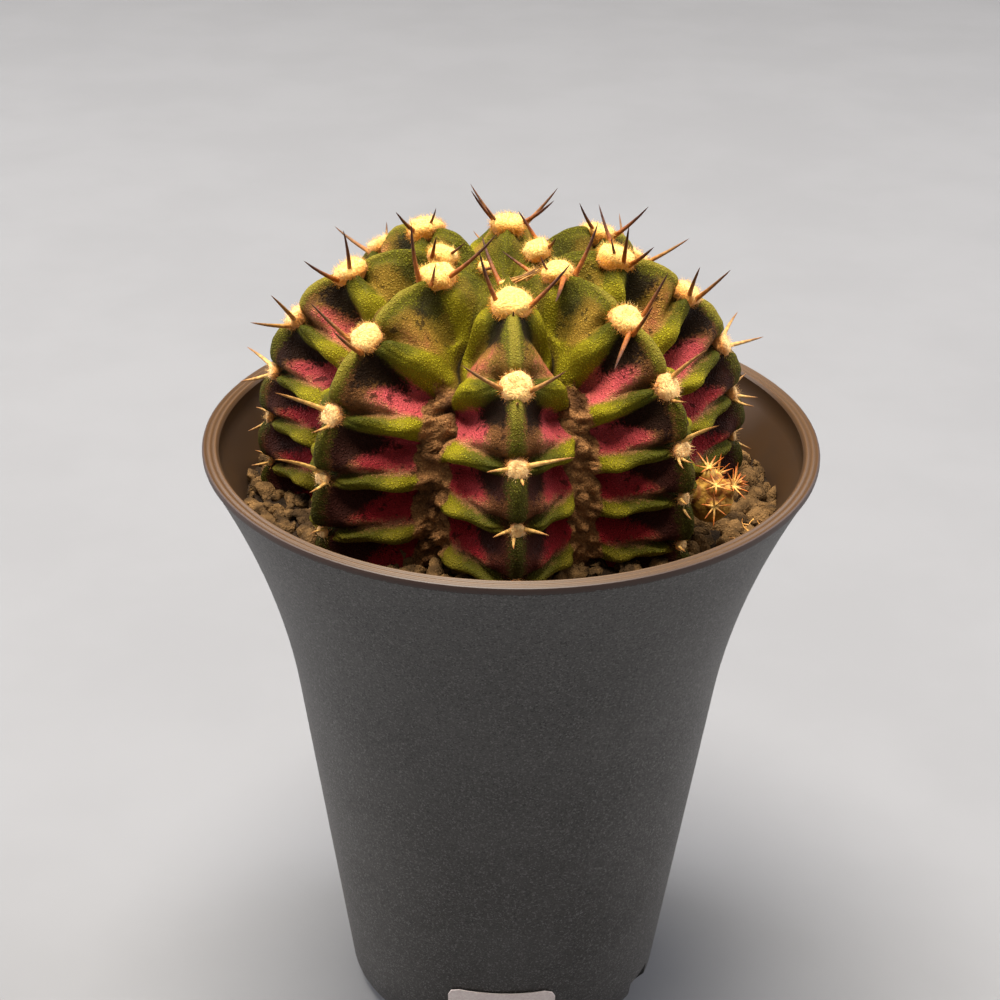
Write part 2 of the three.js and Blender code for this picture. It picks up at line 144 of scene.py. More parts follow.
def geo(kind, sockets=None, out=0, **settings):
    return addNode("GeometryNode" + kind, sockets, out, **settings)


def calculate(operation, first, second=0.0, third=0.0):
    return addNode("ShaderNodeMath", {0: first, 1: second, 2: third}, operation=operation)


def times(first, second):
    return calculate("MULTIPLY", first, second)


def timesPlus(first, second, third):
    return calculate("MULTIPLY_ADD", first, second, third)


def minus(first, second):
    return calculate("SUBTRACT", first, second)


def vectorMath(operation, first, second=(0.0, 0.0, 0.0)):
    key = 3 if operation == "SCALE" else 1  # a scale is a number with a socket of its own
    out = "Value" if operation == "LENGTH" else "Vector"
    return addNode("ShaderNodeVectorMath", {0: first, key: second}, out, operation=operation)


def ramp(value, low, high, toLow=0.0, toHigh=1.0):
    return addNode("ShaderNodeMapRange",
                   {"Value": value, "From Min": low, "From Max": high, "To Min": toLow,
                    "To Max": toHigh}, interpolation_type="SMOOTHSTEP")


def mixColour(factor, first, second, blend="MIX"):
    return addNode("ShaderNodeMix", {0: factor, 6: first, 7: second}, 2,
                   data_type="RGBA", blend_type=blend)


def layered(colour, *layers):
    # each layer is a mask and the colour that it lays over the ones before
    for mask, tone in layers:
        colour = mixColour(mask, colour, tone)
    return colour


def readValue(name):
    return addNode("ShaderNodeAttribute", out="Fac", attribute_name=name)


def objectPlace():
    return addNode("ShaderNodeTexCoord", out="Object")


def newTree(name, kind, inputs, outputs):
    # a number gives its socket's kind and default, and a word is the kind itself
    tree = bench["tree"] = bpy.data.node_groups.new(name, kind)
    for side, sockets in (("INPUT", inputs), ("OUTPUT", outputs)):
        for label, value in sockets.items():
            word = value if isinstance(value, str) else {int: "Int", float: "Float"}[type(value)]
            socket = tree.interface.new_socket(label, in_out=side, socket_type="NodeSocket" + word)
            if word != value:
                socket.default_value = value
    return makeNode("NodeGroupInput").outputs, makeNode("NodeGroupOutput").inputs


# Shader groups shared by several materials

def buildGrain():
    # rounded beads, one to a cell: 1 in the middle of a bead and 0 in the gaps
    given, result = newTree("beadGrain", "ShaderNodeTree", {"Scale": 2000.0, "Gap": 0.5},
                            {"Beads": "Float", "Tint": "Float"})
    place = objectPlace()
    wobble = addNode("ShaderNodeTexNoise",
                     {"Vector": place, "Scale": given["Scale"], "Detail": 1.0}, "Color")
    place = vectorMath("ADD", place, vectorMath("SCALE", wobble, 0.4 * mm))
    cells = makeNode("ShaderNodeTexVoronoi", {"Vector": place, "Scale": given["Scale"]}).outputs
    setSocket(result["Beads"], ramp(cells["Distance"], given["Gap"], 0.1))
    setSocket(result["Tint"], cells["Color"])
    return bench["tree"]


def buildMottle():
    # soft cloudy patches, which the looks give as scale, detail, low and high
    given, result = newTree("mottle", "ShaderNodeTree",
                            {"Scale": 200.0, "Detail": 3.0, "Low": 0.35, "High": 0.65},
                            {"Mask": "Float", "Raw": "Float"})
    cloud = addNode("ShaderNodeTexNoise", {"Vector": objectPlace(), "Scale": given["Scale"],
                                           "Detail": given["Detail"], "Roughness": 0.6}, "Fac")
    setSocket(result["Mask"], ramp(cloud, given["Low"], given["High"]))
    setSocket(result["Raw"], cloud)
    return bench["tree"]


grainGroup, mottleGroup = buildGrain(), buildMottle()


def beadGrain(scale, gap):
    sockets = {"Scale": scale, "Gap": gap}
    return makeNode("ShaderNodeGroup", sockets, node_tree=grainGroup).outputs


def mottle(scale, detail=3.0, low=0.35, high=0.65, out="Mask"):
    sockets = {"Scale": scale, "Detail": detail, "Low": low, "High": high}
    return addNode("ShaderNodeGroup", sockets, out, node_tree=mottleGroup)


def startMaterial(name, roughness=0.5, specular=0.5, sheen=0.0):
    material = bpy.data.materials.new(name)
    material.use_nodes = True
    bench["tree"] = material.node_tree
    bench["tree"].nodes.clear()
    shader = makeNode("ShaderNodeBsdfPrincipled", {
        "Roughness": roughness, "Specular IOR Level": specular, "Sheen Weight": sheen})
    makeNode("ShaderNodeOutputMaterial", {"Surface": shader.outputs[0]})
    return material, shader


def endMaterial(material, shader, colour, height, depth):
    # the bump is `depth` millimetres deep where the height goes from 0 to 1
    bump = addNode("ShaderNodeBump", {"Height": height, "Distance": depth * mm, "Strength": 1.0})
    setSocket(shader.inputs["Base Color"], colour)
    setSocket(shader.inputs["Normal"], bump)
    return material


# Geometry Nodes: trees with named inputs, run once and turned into plain meshes

def startTree(name, **inputs):
    inputs = {label.replace("_", " "): value for label, value in inputs.items()}
    return newTree(name, "GeometryNodeTree", {"Geometry": "Geometry", **inputs, "Material": "Material"},
                   {"Geometry": "Geometry"})


def endTree(given, result, shape, smooth=True):
    shape = geo("RealizeInstances", {"Geometry": shape})
    if smooth:
        shape = geo("SetShadeSmooth", {"Geometry": shape})
    shape = geo("SetMaterial", {"Geometry": shape, "Material": given["Material"]})
    setSocket(result[0], shape)
    return bench["tree"]


def randomValue(low, high, seed, isVector=False):
    first = 0 if isVector else 2  # numbers and vectors have sockets of their own
    return addNode("FunctionNodeRandomValue", {first: low, first + 1: high, "Seed": seed},
                   first // 2, data_type="FLOAT_VECTOR" if isVector else "FLOAT")


def shake(shape, amount, scale, detail):
    # moves each point by a noise, half the amount either way
    colour = addNode("ShaderNodeTexNoise", {"Scale": scale, "Detail": detail}, "Color")
    centred = vectorMath("SUBTRACT", colour, (0.5, 0.5, 0.5))
    return geo("SetPosition", {"Geometry": shape, "Offset": vectorMath("SCALE", centred, amount)})


def runTree(name, source, tree, values):
    modifier = source.modifiers.new(tree.name, "NODES")
    modifier.node_group = tree
    identifiers = {item.name: item.identifier for item in tree.interface.items_tree
                   if item.in_out == "INPUT"}
    for label, value in values.items():
        modifier[identifiers[label]] = value
    graph = bpy.context.evaluated_depsgraph_get()
    mesh = bpy.data.meshes.new_from_object(source.evaluated_get(graph))
    source.modifiers.remove(modifier)
    bpy.data.objects.remove(source)
    mesh.name = name
    return addPiece(name, mesh)


def finishPiece(piece, slotName, *nodes):
    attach(piece, "root")
    if nodes:
        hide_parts(*nodes)
    print("made", piece.name, len(piece.data.polygons), "faces")


# Camera, light and floor

studio = {
    "cameraPlace": (0, -264.4, 239.4), "tilt": 28.3, "turn": 0.36, "roll": 0.8, "lens": 64.8,
    "floorHalf": 4000, "floorColour": rgb(116, 117, 122), "floorCloud": (14.0, 4.0), "cloudLift": 1.05,
    "skyColour": (1.0, 0.98, 0.95, 1), "skyStrength": 0.34, "lampAim": (0, 0, 100),
}
# each lamp: place in mm, width in metres, watts and colour
lamps = {
    "keyLamp": ((-150, 60, 1500), 1.0, 62.0, (1, 0.94, 0.82)),
    "leftLamp": ((-1150, 380, 620), 0.8, 14.0, (0.98, 0.98, 1)),
    "rightLamp": ((1150, 420, 620), 0.8, 14.0, (0.98, 0.98, 1)),
}


def makeStudio():
    scene = bpy.context.scene
    data = bpy.data.cameras.new("camera")
    data.lens, data.sensor_width = studio["lens"], 36
    data.clip_start, data.clip_end = 0.01, 50
    scene.camera = addPiece("camera", data)
    place = Matrix.Translation(Vector(studio["cameraPlace"]) * mm)
    for degrees, axis in ((studio["turn"], "Z"), (90 - studio["tilt"], "X"), (studio["roll"], "Z")):
        place = place @ Matrix.Rotation(math.radians(degrees), 4, axis)
    scene.camera.matrix_world = place
    scene.view_settings.view_transform = "Standard"

    scene.world = bpy.data.worlds.new("softRoom")
    scene.world.use_nodes = True
    sky = scene.world.node_tree.nodes["Background"]
    sky.inputs["Color"].default_value = studio["skyColour"]
    sky.inputs["Strength"].default_value = studio["skyStrength"]

    for label, (place, width, power, colour) in lamps.items():
        light = bpy.data.lights.new(label, "AREA")
        light.shape, light.size = "DISK", width
        light.energy, light.color = power, colour
        holder = addPiece(label, light)
        holder.location = Vector(place) * mm
        aim = Vector(studio["lampAim"]) * mm - holder.location
        holder.rotation_euler = aim.to_track_quat("-Z", "Y").to_euler()

    half = studio["floorHalf"]
    floor = makeMesh("floor", [(-half, -half, 0), (half, -half, 0), (half, half, 0), (-half, half, 0)],
                     [(0, 1, 2, 3)])
    material, shader = startMaterial("paleFloor", roughness=0.75)
    colour = studio["floorColour"]
    paler = tuple(min(1, channel * studio["cloudLift"]) for channel in colour)
    colour = layered(colour, (mottle(*studio["floorCloud"]), paler))
    setSocket(shader.inputs["Base Color"], colour)
    floor.data.materials.append(material)


makeStudio()
print("studio ready")


# Cactus: the crest line, the ribs and the skin between them

# Sizes, and arcs from the crown down the crest, are in mm. "Across" is 0 on a rib's crest and 1 in its
# furrow, and "phase" is 0 at one areole and 1 at the next one down.
cactus = {
    "centre": (-1.5, -1.3), "girth": 37.4, "waist": 103.3, "crownRise": 37.6, "crownPower": 2.9,
    "rootDrop": 31.0, "rootPower": 2.2, "dimpleDepth": 6.0, "dimpleRadius": 6.5, "samples": 900,
    "slopeStep": 0.6, "youngArc": 5.2, "widestSpacing": 18.3, "spacingLoss": 0.2, "leastSpacing": 9,
    "lastSpacing": 60, "buriedArc": 66, "rootEnd": 12, "corkyArc": (22, 38), "ageArc": 80,
    "furrowDepth": 10.0, "furrowStart": 13.0, "rootFurrow": 3.0, "floorRise": 1.6, "floorShare": 0.76,
    "furrowCut": 1.6, "cutAcross": (0.86, 1), "cutArc": (8, 18), "furrowSway": 0.07,
    "swayArc": (10, 20, 60, 75), "crestRound": 0.12, "youngRound": 0.4, "roundness": 0.6,
    "scallop": 0.24, "scallopPhase": (0.36, 0.26), "topWidth": 0.3, "flankAcross": (0.08, 0.3, 0.7, 0.9),
    "spreadAcross": (0.05, 0.45), "chinBulge": 1.9, "chinPower": 0.7, "chinCrease": 2.3,
    "creasePhase": 0.91, "creaseClimb": 0.12, "creaseWidth": 0.06, "flankCrease": 0.45,
    "creaseAcross": (0.7, 0.4), "bandHeight": 2.0, "bandAbove": 0.2, "bandBelow": 0.14,
    "bellyHeight": 1.6, "bellyPhase": (0.64, 0.23), "undercut": 0.5, "youngUndercut": 0.7,
    "undercutArc": (46, 32), "undercutPhase": (0.2, 0.07), "undercutAcross": (0.15, 0.5),
    "hollowDepth": 1.4, "hollowPhase": (0.3, 0.13), "lobeHeight": 2.0, "lobeRoll": (0.27, 0.15),
    "lobeAcross": (0.65, 0.17), "keelHeight": 0.45, "keelWidth": 0.07, "keelGroove": 0.8,
    "grooveAcross": (0.18, 0.08), "keelPhase": (0.03, 0.15, 0.8, 0.95),
    "bandSag": {"front_right": 1.8, "right": 2.4}, "sagAcross": (0.1, 0.75),
    "columnsPerRib": 42, "chins": 6, "rowsPerChin": 38, "rowGather": 0.06, "crownRows": 16,
    "rootRows": 20, "wrinkle": 0.2, "wrinkleSize": 3.1, "corkHeight": 1.15, "corkSize": 2.5,
    "corkLumps": (2.4, 0.5), "corkFiner": 2.3, "corkMiddle": 0.6, "corkBend": 0.8, "bendSize": 2.3,
    "corkLeast": 0.02, "corkSeed": 5, "smoothCrown": (0.02, 0.12),
}

# name, turn, arc of the first areole, stretch, young areole, spines (clock, lean, length)
ribTable = (
    ("front", 4, 19.6, 1, True,
     (((-70, 25, 9),), ((-70, 30, 9), (95, 45, 10), (180, 60, 2.5)),
      ((-80, 55, 9), (90, 40, 9), (180, 45, 3)), ((-85, 50, 5), (70, 55, 9), (160, 30, 3)),
      ((-85, 50, 4), (75, 45, 5.5), (-155, 30, 3)), ((-80, 50, 4), (80, 50, 4)))),
    ("front_right", 47, 12.7, 0.88, False,
     (((140, 35, 9), (-130, 100, 9), (-60, 40, 3)), ((90, 20, 9), (-145, 25, 8), (-125, 95, 10)),
      ((25, 20, 9), (-160, 30, 4)), ((5, 30, 8), (-125, 60, 3), (-140, 30, 3)),
      ((-70, 45, 4), (-150, 50, 3)), ((-70, 50, 3),))),
    ("right", 92.5, 18.5, 0.87, True,
     (((60, 40, 6),), ((-55, 30, 4.5), (-85, 38, 9), (-115, 55, 9), (60, 50, 8)),
      ((-60, 55, 9), (-95, 30, 9)), ((85, 65, 8), (125, 50, 9)),
      ((75, 55, 4.5), (135, 40, 5.5), (-130, 50, 3.5)), ((90, 60, 3), (155, 45, 4.5)))),
    ("back_right", 135.5, 8.8, 0.85, False,
     (((-100, 50, 5), (120, 45, 6)), ((-10, 65, 8), (-95, 50, 9)),
      ((-85, 50, 9), (80, 50, 9), (180, 40, 3)), ((-80, 55, 7), (85, 50, 8)),
      ((-80, 50, 5), (80, 50, 5)), ((-80, 50, 4), (80, 50, 4)))),
    ("back", 178, 14.7, 0.97, False,
     (((45, 45, 5), (-55, 60, 9), (60, 45, 8)), ((-75, 50, 9), (80, 45, 9), (180, 45, 3)),
      ((-80, 50, 8), (75, 50, 9)), ((-85, 50, 6), (80, 50, 5)), ((-80, 50, 4), (80, 50, 4)))),
    ("back_left", -135, 19.4, 0.84, True,
     (((40, 35, 5),), ((10, 45, 4.5), (65, 65, 9)), ((160, 40, 9), (-105, 40, 5)),
      ((-80, 50, 8), (80, 50, 8)), ((-80, 50, 5), (85, 50, 6)), ((-80, 50, 4), (80, 50, 4)))),
    ("left", -89, 11.1, 0.89, False,
     (((110, 45, 6), (35, 35, 4)), ((50, 30, 8), (120, 50, 9)), ((60, 55, 9), (100, 50, 9)),
      ((-95, 60, 9), (-135, 60, 9)), ((-85, 50, 3), (-155, 50, 5)),
      ((-80, 50, 3.5), (80, 50, 3.5)))),
    ("front_left", -45, 15.3, 1, False,
     (((-150, 15, 9.5), (60, 55, 11), (135, 20, 3)), ((-105, 25, 9.5), (145, 25, 9)),
      ((-65, 25, 9), (155, 25, 4.5)), ((-15, 32, 9), (115, 20, 4)), ((35, 30, 3),))),
)
ribs = [dict(zip(("name", "turn", "first", "stretch", "young", "spines"), row)) for row in ribTable]


def crestLine():
    angle = np.linspace(0, math.pi, cactus["samples"] + 1)
    upper = angle < math.pi / 2
    power = np.where(upper, 2 / cactus["crownPower"], 2 / cactus["rootPower"])
    radius = cactus["girth"] * np.clip(np.sin(angle), 0, None) ** power
    rise = np.where(upper, cactus["crownRise"], -cactus["rootDrop"]) * np.abs(np.cos(angle)) ** power
    dimple = cactus["dimpleDepth"] * hump(radius, 0, cactus["dimpleRadius"]) * upper
    height = cactus["waist"] + rise - dimple
    steps = np.hypot(np.diff(radius), np.diff(height))
    return radius, height, np.concatenate([[0], np.cumsum(steps)])


crestRadius, crestHeight, crestArc = crestLine()
crestLength = crestArc[-1]


def onCrest(arc):
    return np.interp(arc, crestArc, crestRadius), np.interp(arc, crestArc, crestHeight)


def crestFrame(arc, turn):
    # the point on the crest, then the outward, sideways and crownward directions there
    arc, turn = np.broadcast_arrays(np.asarray(arc, float), np.asarray(turn, float))
    radius, height = onCrest(arc)
    radiusBefore, heightBefore = onCrest(arc - cactus["slopeStep"])
    radiusAfter, heightAfter = onCrest(arc + cactus["slopeStep"])
    flat = np.zeros_like(turn)
    out = np.stack([np.sin(turn), -np.cos(turn), flat], -1)
    side = np.stack([np.cos(turn), np.sin(turn), flat], -1)
    up = np.array([0.0, 0.0, 1.0])
    fall, widening = (heightBefore - heightAfter)[..., None], (radiusAfter - radiusBefore)[..., None]
    normal = unit(out * fall + up * widening)
    point = out * radius[..., None] + up * height[..., None]
    point[..., :2] += cactus["centre"]
    return point, normal, side, np.cross(normal, side)


def grownArcs(rib):
    arcs = [cactus["youngArc"]] if rib["young"] else []
    arc = rib["first"]
    while arc < crestLength:
        arcs.append(arc)
        spacing = cactus["widestSpacing"] - cactus["spacingLoss"] * arc
        arc += rib["stretch"] * max(cactus["leastSpacing"], spacing)
    return arcs


def chinPhase(rib, arc):
    # 0 at the areole above and 1 at the areole below
    marks = grownArcs(rib)
    marks = np.array([marks[0] - 2 * cactus["youngArc"], *marks, marks[-1] + cactus["lastSpacing"]])
    after = np.clip(np.searchsorted(marks, arc, side="right"), 1, len(marks) - 1)
    return np.clip((arc - marks[after - 1]) / (marks[after] - marks[after - 1]), 0, 1)


def around(phase, centre):
    # distance to a phase, counted round from one areole to the next
    return (phase - centre + 0.5) % 1 - 0.5


def skinDepth(rib, across, arc, sag):
    # how far the skin lies under the crest's surface
    def step(value, key):
        return fade(value, *cactus[key])

    rooting = smoothStep(arc, cactus["buriedArc"], crestLength - cactus["rootEnd"])
    corky = step(arc, "corkyArc")
    phase = chinPhase(rib, arc - sag)
    away = around(phase, 0)
    spread = step(across, "spreadAcross")

    opening = 1 - hump(onCrest(arc)[0], 0, cactus["furrowStart"])
    depth = (cactus["furrowDepth"] * (1 - rooting) + cactus["rootFurrow"] * rooting) * opening
    depth -= cactus["floorRise"] * corky * (1 - rooting)
    depth += cactus["furrowCut"] * step(across, "cutAcross") * (1 - corky) * step(arc, "cutArc")

    reach = across * (1 + cactus["scallop"] * corky * hump(phase, *cactus["scallopPhase"]))
    reach = np.clip(reach / (1 - (1 - cactus["floorShare"]) * corky), 0, 1)
    soft = cactus["crestRound"] + cactus["youngRound"] * (1 - corky)
    straight = (np.hypot(reach, soft) - soft) / (np.hypot(1, soft) - soft)
    rounded = 0.5 - 0.5 * np.cos(math.pi * reach)
    section = straight + cactus["roundness"] * (rounded - straight)

    climb = cactus["creasePhase"] - cactus["creaseClimb"] * spread
    crease = cactus["chinCrease"] * hump(around(phase, climb), 0, cactus["creaseWidth"])
    chin = cactus["chinBulge"] * np.sin(math.pi * phase) ** cactus["chinPower"] - crease
    bandAbove = cactus["bandAbove"] * (0.5 + 0.5 * spread)
    undercut = cactus["undercut"] + cactus["youngUndercut"] * step(arc, "undercutArc")
    flank = cactus["bandHeight"] * roll(away, bandAbove, cactus["bandBelow"])
    flank += cactus["bellyHeight"] * hump(phase, *cactus["bellyPhase"])
    flank -= cactus["flankCrease"] * crease * step(across, "creaseAcross")
    flank -= undercut * hump(phase, *cactus["undercutPhase"]) * step(across, "undercutAcross")
    flank -= cactus["hollowDepth"] * hump(phase, *cactus["hollowPhase"])
    flank += cactus["lobeHeight"] * roll(away, *cactus["lobeRoll"]) * hump(across, *cactus["lobeAcross"])
    keel = hump(across, 0, cactus["keelWidth"])
    keel = keel - cactus["keelGroove"] * hump(across, *cactus["grooveAcross"])
    raised = hump(across, 0, cactus["topWidth"]) * chin + step(across, "flankAcross") * flank
    raised += cactus["keelHeight"] * keel * step(phase, "keelPhase")
    return depth * section - opening * (1 - rooting) * raised, phase


# where each colour of the skin lies, as steps and bands; "away" is the phase counted from an areole
skinZones = {
    "blushMark": {"phase": (0.06, 0.14, 0.5, 0.9), "across": (0.18, 0.42, 0.81, 0.89)},
    "paleMark": {"phase": (0.32, 0.64, 0.89, 0.98), "across": (0.16, 0.42, 0.81, 0.89)},
    "shadeMark": {"away": (-0.3, -0.2, -0.1, 0.0), "across": (0.75, 0.4)},
    "keelMark": {"across": (0.12, 0.04), "arc": (16, 22, 34, 46)},
    # the strip along the upper furrows that takes a painted shade line
    "furrowShadeMark": {"across": (0.92, 1), "arc": (8, 18, 24, 36)},
    "corkMark": {"across": (0.72, 0.85), "arc": (24, 36)},
    "shaded": {"phase": (0.05, 0.13, 0.26, 0.7), "across": (0.04, 0.15, 0.26, 0.6)},
    "crestShaded": {"phase": (0.1, 0.3, 0.74, 0.93), "across": (0.07, 0.14, 0.18, 0.36), "arc": (28, 44)},
    "flank": {"across": (0.04, 0.2, 0.82, 0.91)},
    "seam": {"arc": (40, 30), "phase": (0.0, 0.1, 0.7, 1.0)},
    "crownFade": {"arc": (9, 19)},
    "youngEdge": {"arc": (32, 16), "phase": (0.2, 0.5)},
}
# the green band's widths above and below an areole, its lobe and seam, and the dark crest's share
bandZone = {
    "above": 0.1, "aboveGain": 0.11, "below": 0.11, "belowGain": 0.05, "lobeRoll": (0.27, 0.16),
    "lobeAcross": (0.74, 0.18), "lobeShare": 0.8, "seamAcross": (0.84, 0.12), "seamShare": 0.7,
    "edgeAcross": (0.17, 0.04), "youngEdgeGain": 0.39, "crestShare": {"front": 0.2}, "otherShare": 0.7,
}


def skinMarks(rib, across, arc, phase):
    away = around(phase, 0)
    spread = fade(across, *cactus["spreadAcross"])
    measures = {"across": across, "arc": arc, "phase": phase, "away": away}
    zones = {name: np.prod([fade(measures[key], *span) for key, span in spans.items()], axis=0)
             for name, spans in skinZones.items()}
    marks = {name: zone for name, zone in zones.items() if name.endswith("Mark")}
    green = roll(away, bandZone["above"] + bandZone["aboveGain"] * spread,
                 bandZone["below"] + bandZone["belowGain"] * spread) * zones["flank"]
    lobe = roll(away, *bandZone["lobeRoll"]) * hump(across, *bandZone["lobeAcross"])
    seam = hump(across, *bandZone["seamAcross"]) * zones["seam"]
    green += bandZone["lobeShare"] * lobe + bandZone["seamShare"] * seam
    crestShare = bandZone["crestShare"].get(rib["name"], bandZone["otherShare"])
    edgeStart, edgeEnd = bandZone["edgeAcross"]
    edgeStart = edgeStart + bandZone["youngEdgeGain"] * zones["youngEdge"]
    marks["bandMark"] = np.clip(green, 0, 1) * zones["crownFade"]
    marks["darkMark"] = np.clip(zones["shaded"] + crestShare * zones["crestShaded"], 0, 1)
    marks["edgeMark"] = smoothStep(across, edgeStart, edgeEnd)
    marks["acrossMark"] = across
    marks["ageMark"] = np.clip(arc / cactus["ageArc"], 0, 1)
    return marks


def halfPitch(rib, other):
    return ((other["turn"] - rib["turn"]) % 360) / 2


def furrowLean(rib, other, arc):
    # a furrow bends away from the lobes of the rib on either side
    push = np.cos(2 * math.pi * chinPhase(rib, arc)) - np.cos(2 * math.pi * chinPhase(other, arc))
    return cactus["furrowSway"] * push * fade(arc, *cactus["swayArc"])


def fineArcs(rib):
    marks = grownArcs(rib)
    arcs = list(marks[0] * np.linspace(0, 1, cactus["crownRows"] + 1)[1:-1])
    share = np.arange(cactus["rowsPerChin"]) / cactus["rowsPerChin"]
    share = share - cactus["rowGather"] * np.sin(2 * math.pi * share)  # rows gather at the areoles
    for upper, lower in zip(marks[:cactus["chins"]], marks[1:]):
        arcs += list(upper + (lower - upper) * share)
    arcs += list(np.linspace(marks[cactus["chins"]], crestLength, cactus["rootRows"] + 1)[:-1])
    return np.array(arcs)


def skinRelief(points, found):
    # corky lumps along the furrow bottoms and faint waves on the flanks
    noise.seed_set(cactus["corkSeed"])  # noise_vector differs from run to run without it
    cork = found["corkMark"].ravel()
    coarse, fine = cactus["corkLumps"]
    relief = np.zeros(len(cork))
    for i, place in enumerate(points.reshape(-1, 3).tolist()):
        spot = Vector(place)
        relief[i] = cactus["wrinkle"] * noise.fractal(spot / cactus["wrinkleSize"], 1.0, 2.0, 3)
        if cork[i] > cactus["corkLeast"]:
            bent = spot + cactus["corkBend"] * noise.noise_vector(spot / cactus["bendSize"])
            bent = bent / cactus["corkSize"]
            lump = coarse * abs(noise.noise(bent))
            lump += fine * abs(noise.noise(bent * cactus["corkFiner"] + Vector((5, 3, 8))))
            relief[i] += cork[i] * cactus["corkHeight"] * (lump - cactus["corkMiddle"])
    return relief.reshape(points.shape[:2]) * fade(found["ageMark"], *cactus["smoothCrown"])


def makeSkin():
    half = cactus["columnsPerRib"] // 2
    across = np.arange(1 - half, half + 1) / half  # negative towards the rib before
    columns, marks = [], []
    for i, rib in enumerate(ribs):
        before, after = ribs[i - 1], ribs[(i + 1) % len(ribs)]
        beside = np.where(across < 0, fineArcs(before)[:, None], fineArcs(after)[:, None])
        shared = across ** 4 / 2  # the rows of two ribs meet in their furrow
        arc = fineArcs(rib)[:, None] * (1 - shared) + beside * shared
        pitch = np.where(across < 0, halfPitch(before, rib), halfPitch(rib, after))
        lean = furrowLean(before, rib, arc) * (across < 0) + furrowLean(rib, after, arc) * (across > 0)
        turn = np.radians(rib["turn"] + pitch * (across + lean * across ** 2))
        point, normal, _, _ = crestFrame(arc, turn)
        outward = np.broadcast_to(np.abs(across), arc.shape)
        sag = cactus["bandSag"].get(rib["name"], 0) * fade(-across, *cactus["sagAcross"])
        depth, phase = skinDepth(rib, outward, arc, sag)
        columns.append((point - normal * depth[..., None], normal))
        marks.append(skinMarks(rib, outward, arc, phase))
    points, normals = (np.concatenate(part, 1) for part in zip(*columns))
    found = {key: np.concatenate([m[key] for m in marks], 1) for key in marks[0]}
    slope = unit(np.cross(np.gradient(points, axis=0), np.roll(points, -1, 1) - np.roll(points, 1, 1)))
    slope *= np.sign(np.sum(slope * normals, -1, keepdims=True))
    points = points + slope * skinRelief(points, found)[..., None]
    crown, root = (crestFrame(arc, 0.0)[0] for arc in (0.0, crestLength))
    skin = makeMesh("cactusSkin", [crown, *points.reshape(-1, 3), root], globeFaces(*points.shape[:2]))
    for key, values in found.items():
        storeValues(skin, key, [values[0].mean(), *values.ravel(), values[-1].mean()])
    return skin


skinLook = {
    # the old and old blush tones darken towards the root, partly the older skin's own colour and partly
    # painted shade low on the body
    "young": rgb(116, 95, 30), "grown": rgb(122, 82, 46), "old": rgb(70, 24, 21),
    "blush": rgb(222, 96, 102), "blushOldShaded": rgb(160, 38, 46), "pale": rgb(208, 146, 104),
    "paleYoung": rgb(172, 138, 54), "dark": rgb(36, 24, 14), "darkOld": rgb(58, 27, 21),
    "darkGreen": rgb(44, 44, 15),
    "bandEnd": rgb(162, 152, 28), "bandStart": rgb(66, 70, 20), "bandOld": rgb(120, 108, 30),
    "edge": rgb(92, 90, 22), "edgeLit": rgb(120, 117, 28), "edgeOld": rgb(46, 44, 15),
    "keel": rgb(140, 130, 46),
    # the furrow colour is a near-black line painted into the upper furrows: painted shade
    "cork": rgb(172, 124, 78), "corkDark": rgb(76, 49, 30), "furrow": rgb(22, 15, 9),
    # bead gap and top tones multiply the skin: painted shade in the gaps, and on the tops partly their own
    # paler tips, partly painted highlight
    "beadGapShade": (0.45, 0.38, 0.34, 1), "beadTopHighlight": (1.2, 1.2, 1.15, 1), "beadShadingShare": 0.66,
    "grainScale": 3200.0, "grainGap": 0.62, "wander": 1.1, "breakUp": 0.5, "ageWander": 0.15,
    "paleBeads": (0.3, 0.6), "corkBeads": (-0.4, 0.5),
    "specks": (700.0, 2.0, 0.6, 0.68), "clouds": (170.0, 3.0), "folds": (1300.0, 4.0, 0.3, 0.7),
    "speckShare": 0.7, "greenShare": 0.8, "upperShare": 0.6, "grownBand": (0.2, 0.62),
    "corkCloud": (0.3, 0.6), "furrowShadeEdge": (0.15, 0.85, 0.0, 0.9), "bandBeadGapShade": (0.7, 0.1, 0.0, 0.35),
}
# where each mark's edge lies, and how far it wanders
markEdges = {
    "paleMark": (0.1, 0.9, 1.0), "blushMark": (0.1, 0.8, 1.0), "darkMark": (0.15, 0.75, 1.0),
    "edgeMark": (0.3, 1.0, 1.0), "keelMark": (0.3, 1.0, 0.5), "shadeMark": (0.2, 0.9, 1.0),
    "bandMark": (0.2, 0.8, 0.7), "corkMark": (0.3, 0.65, 0.6),
}
# the ages between which each colour comes in, from 0 on the crown to 1 at the root
ageSpans = {
    "grown": (0.32, 0.46), "old": (0.5, 0.8), "paleFade": (0.6, 0.9, 1.0, 0.35), "blush": (0.3, 0.44),
    "blushOldShaded": (0.44, 0.7), "dark": (0.15, 0.4), "darkOld": (0.45, 0.68),
    "edgeOld": (0.4, 0.72, 0.0, 0.75), "youngGreen": (0.3, 0.1), "bandOld": (0.5, 0.85),
}


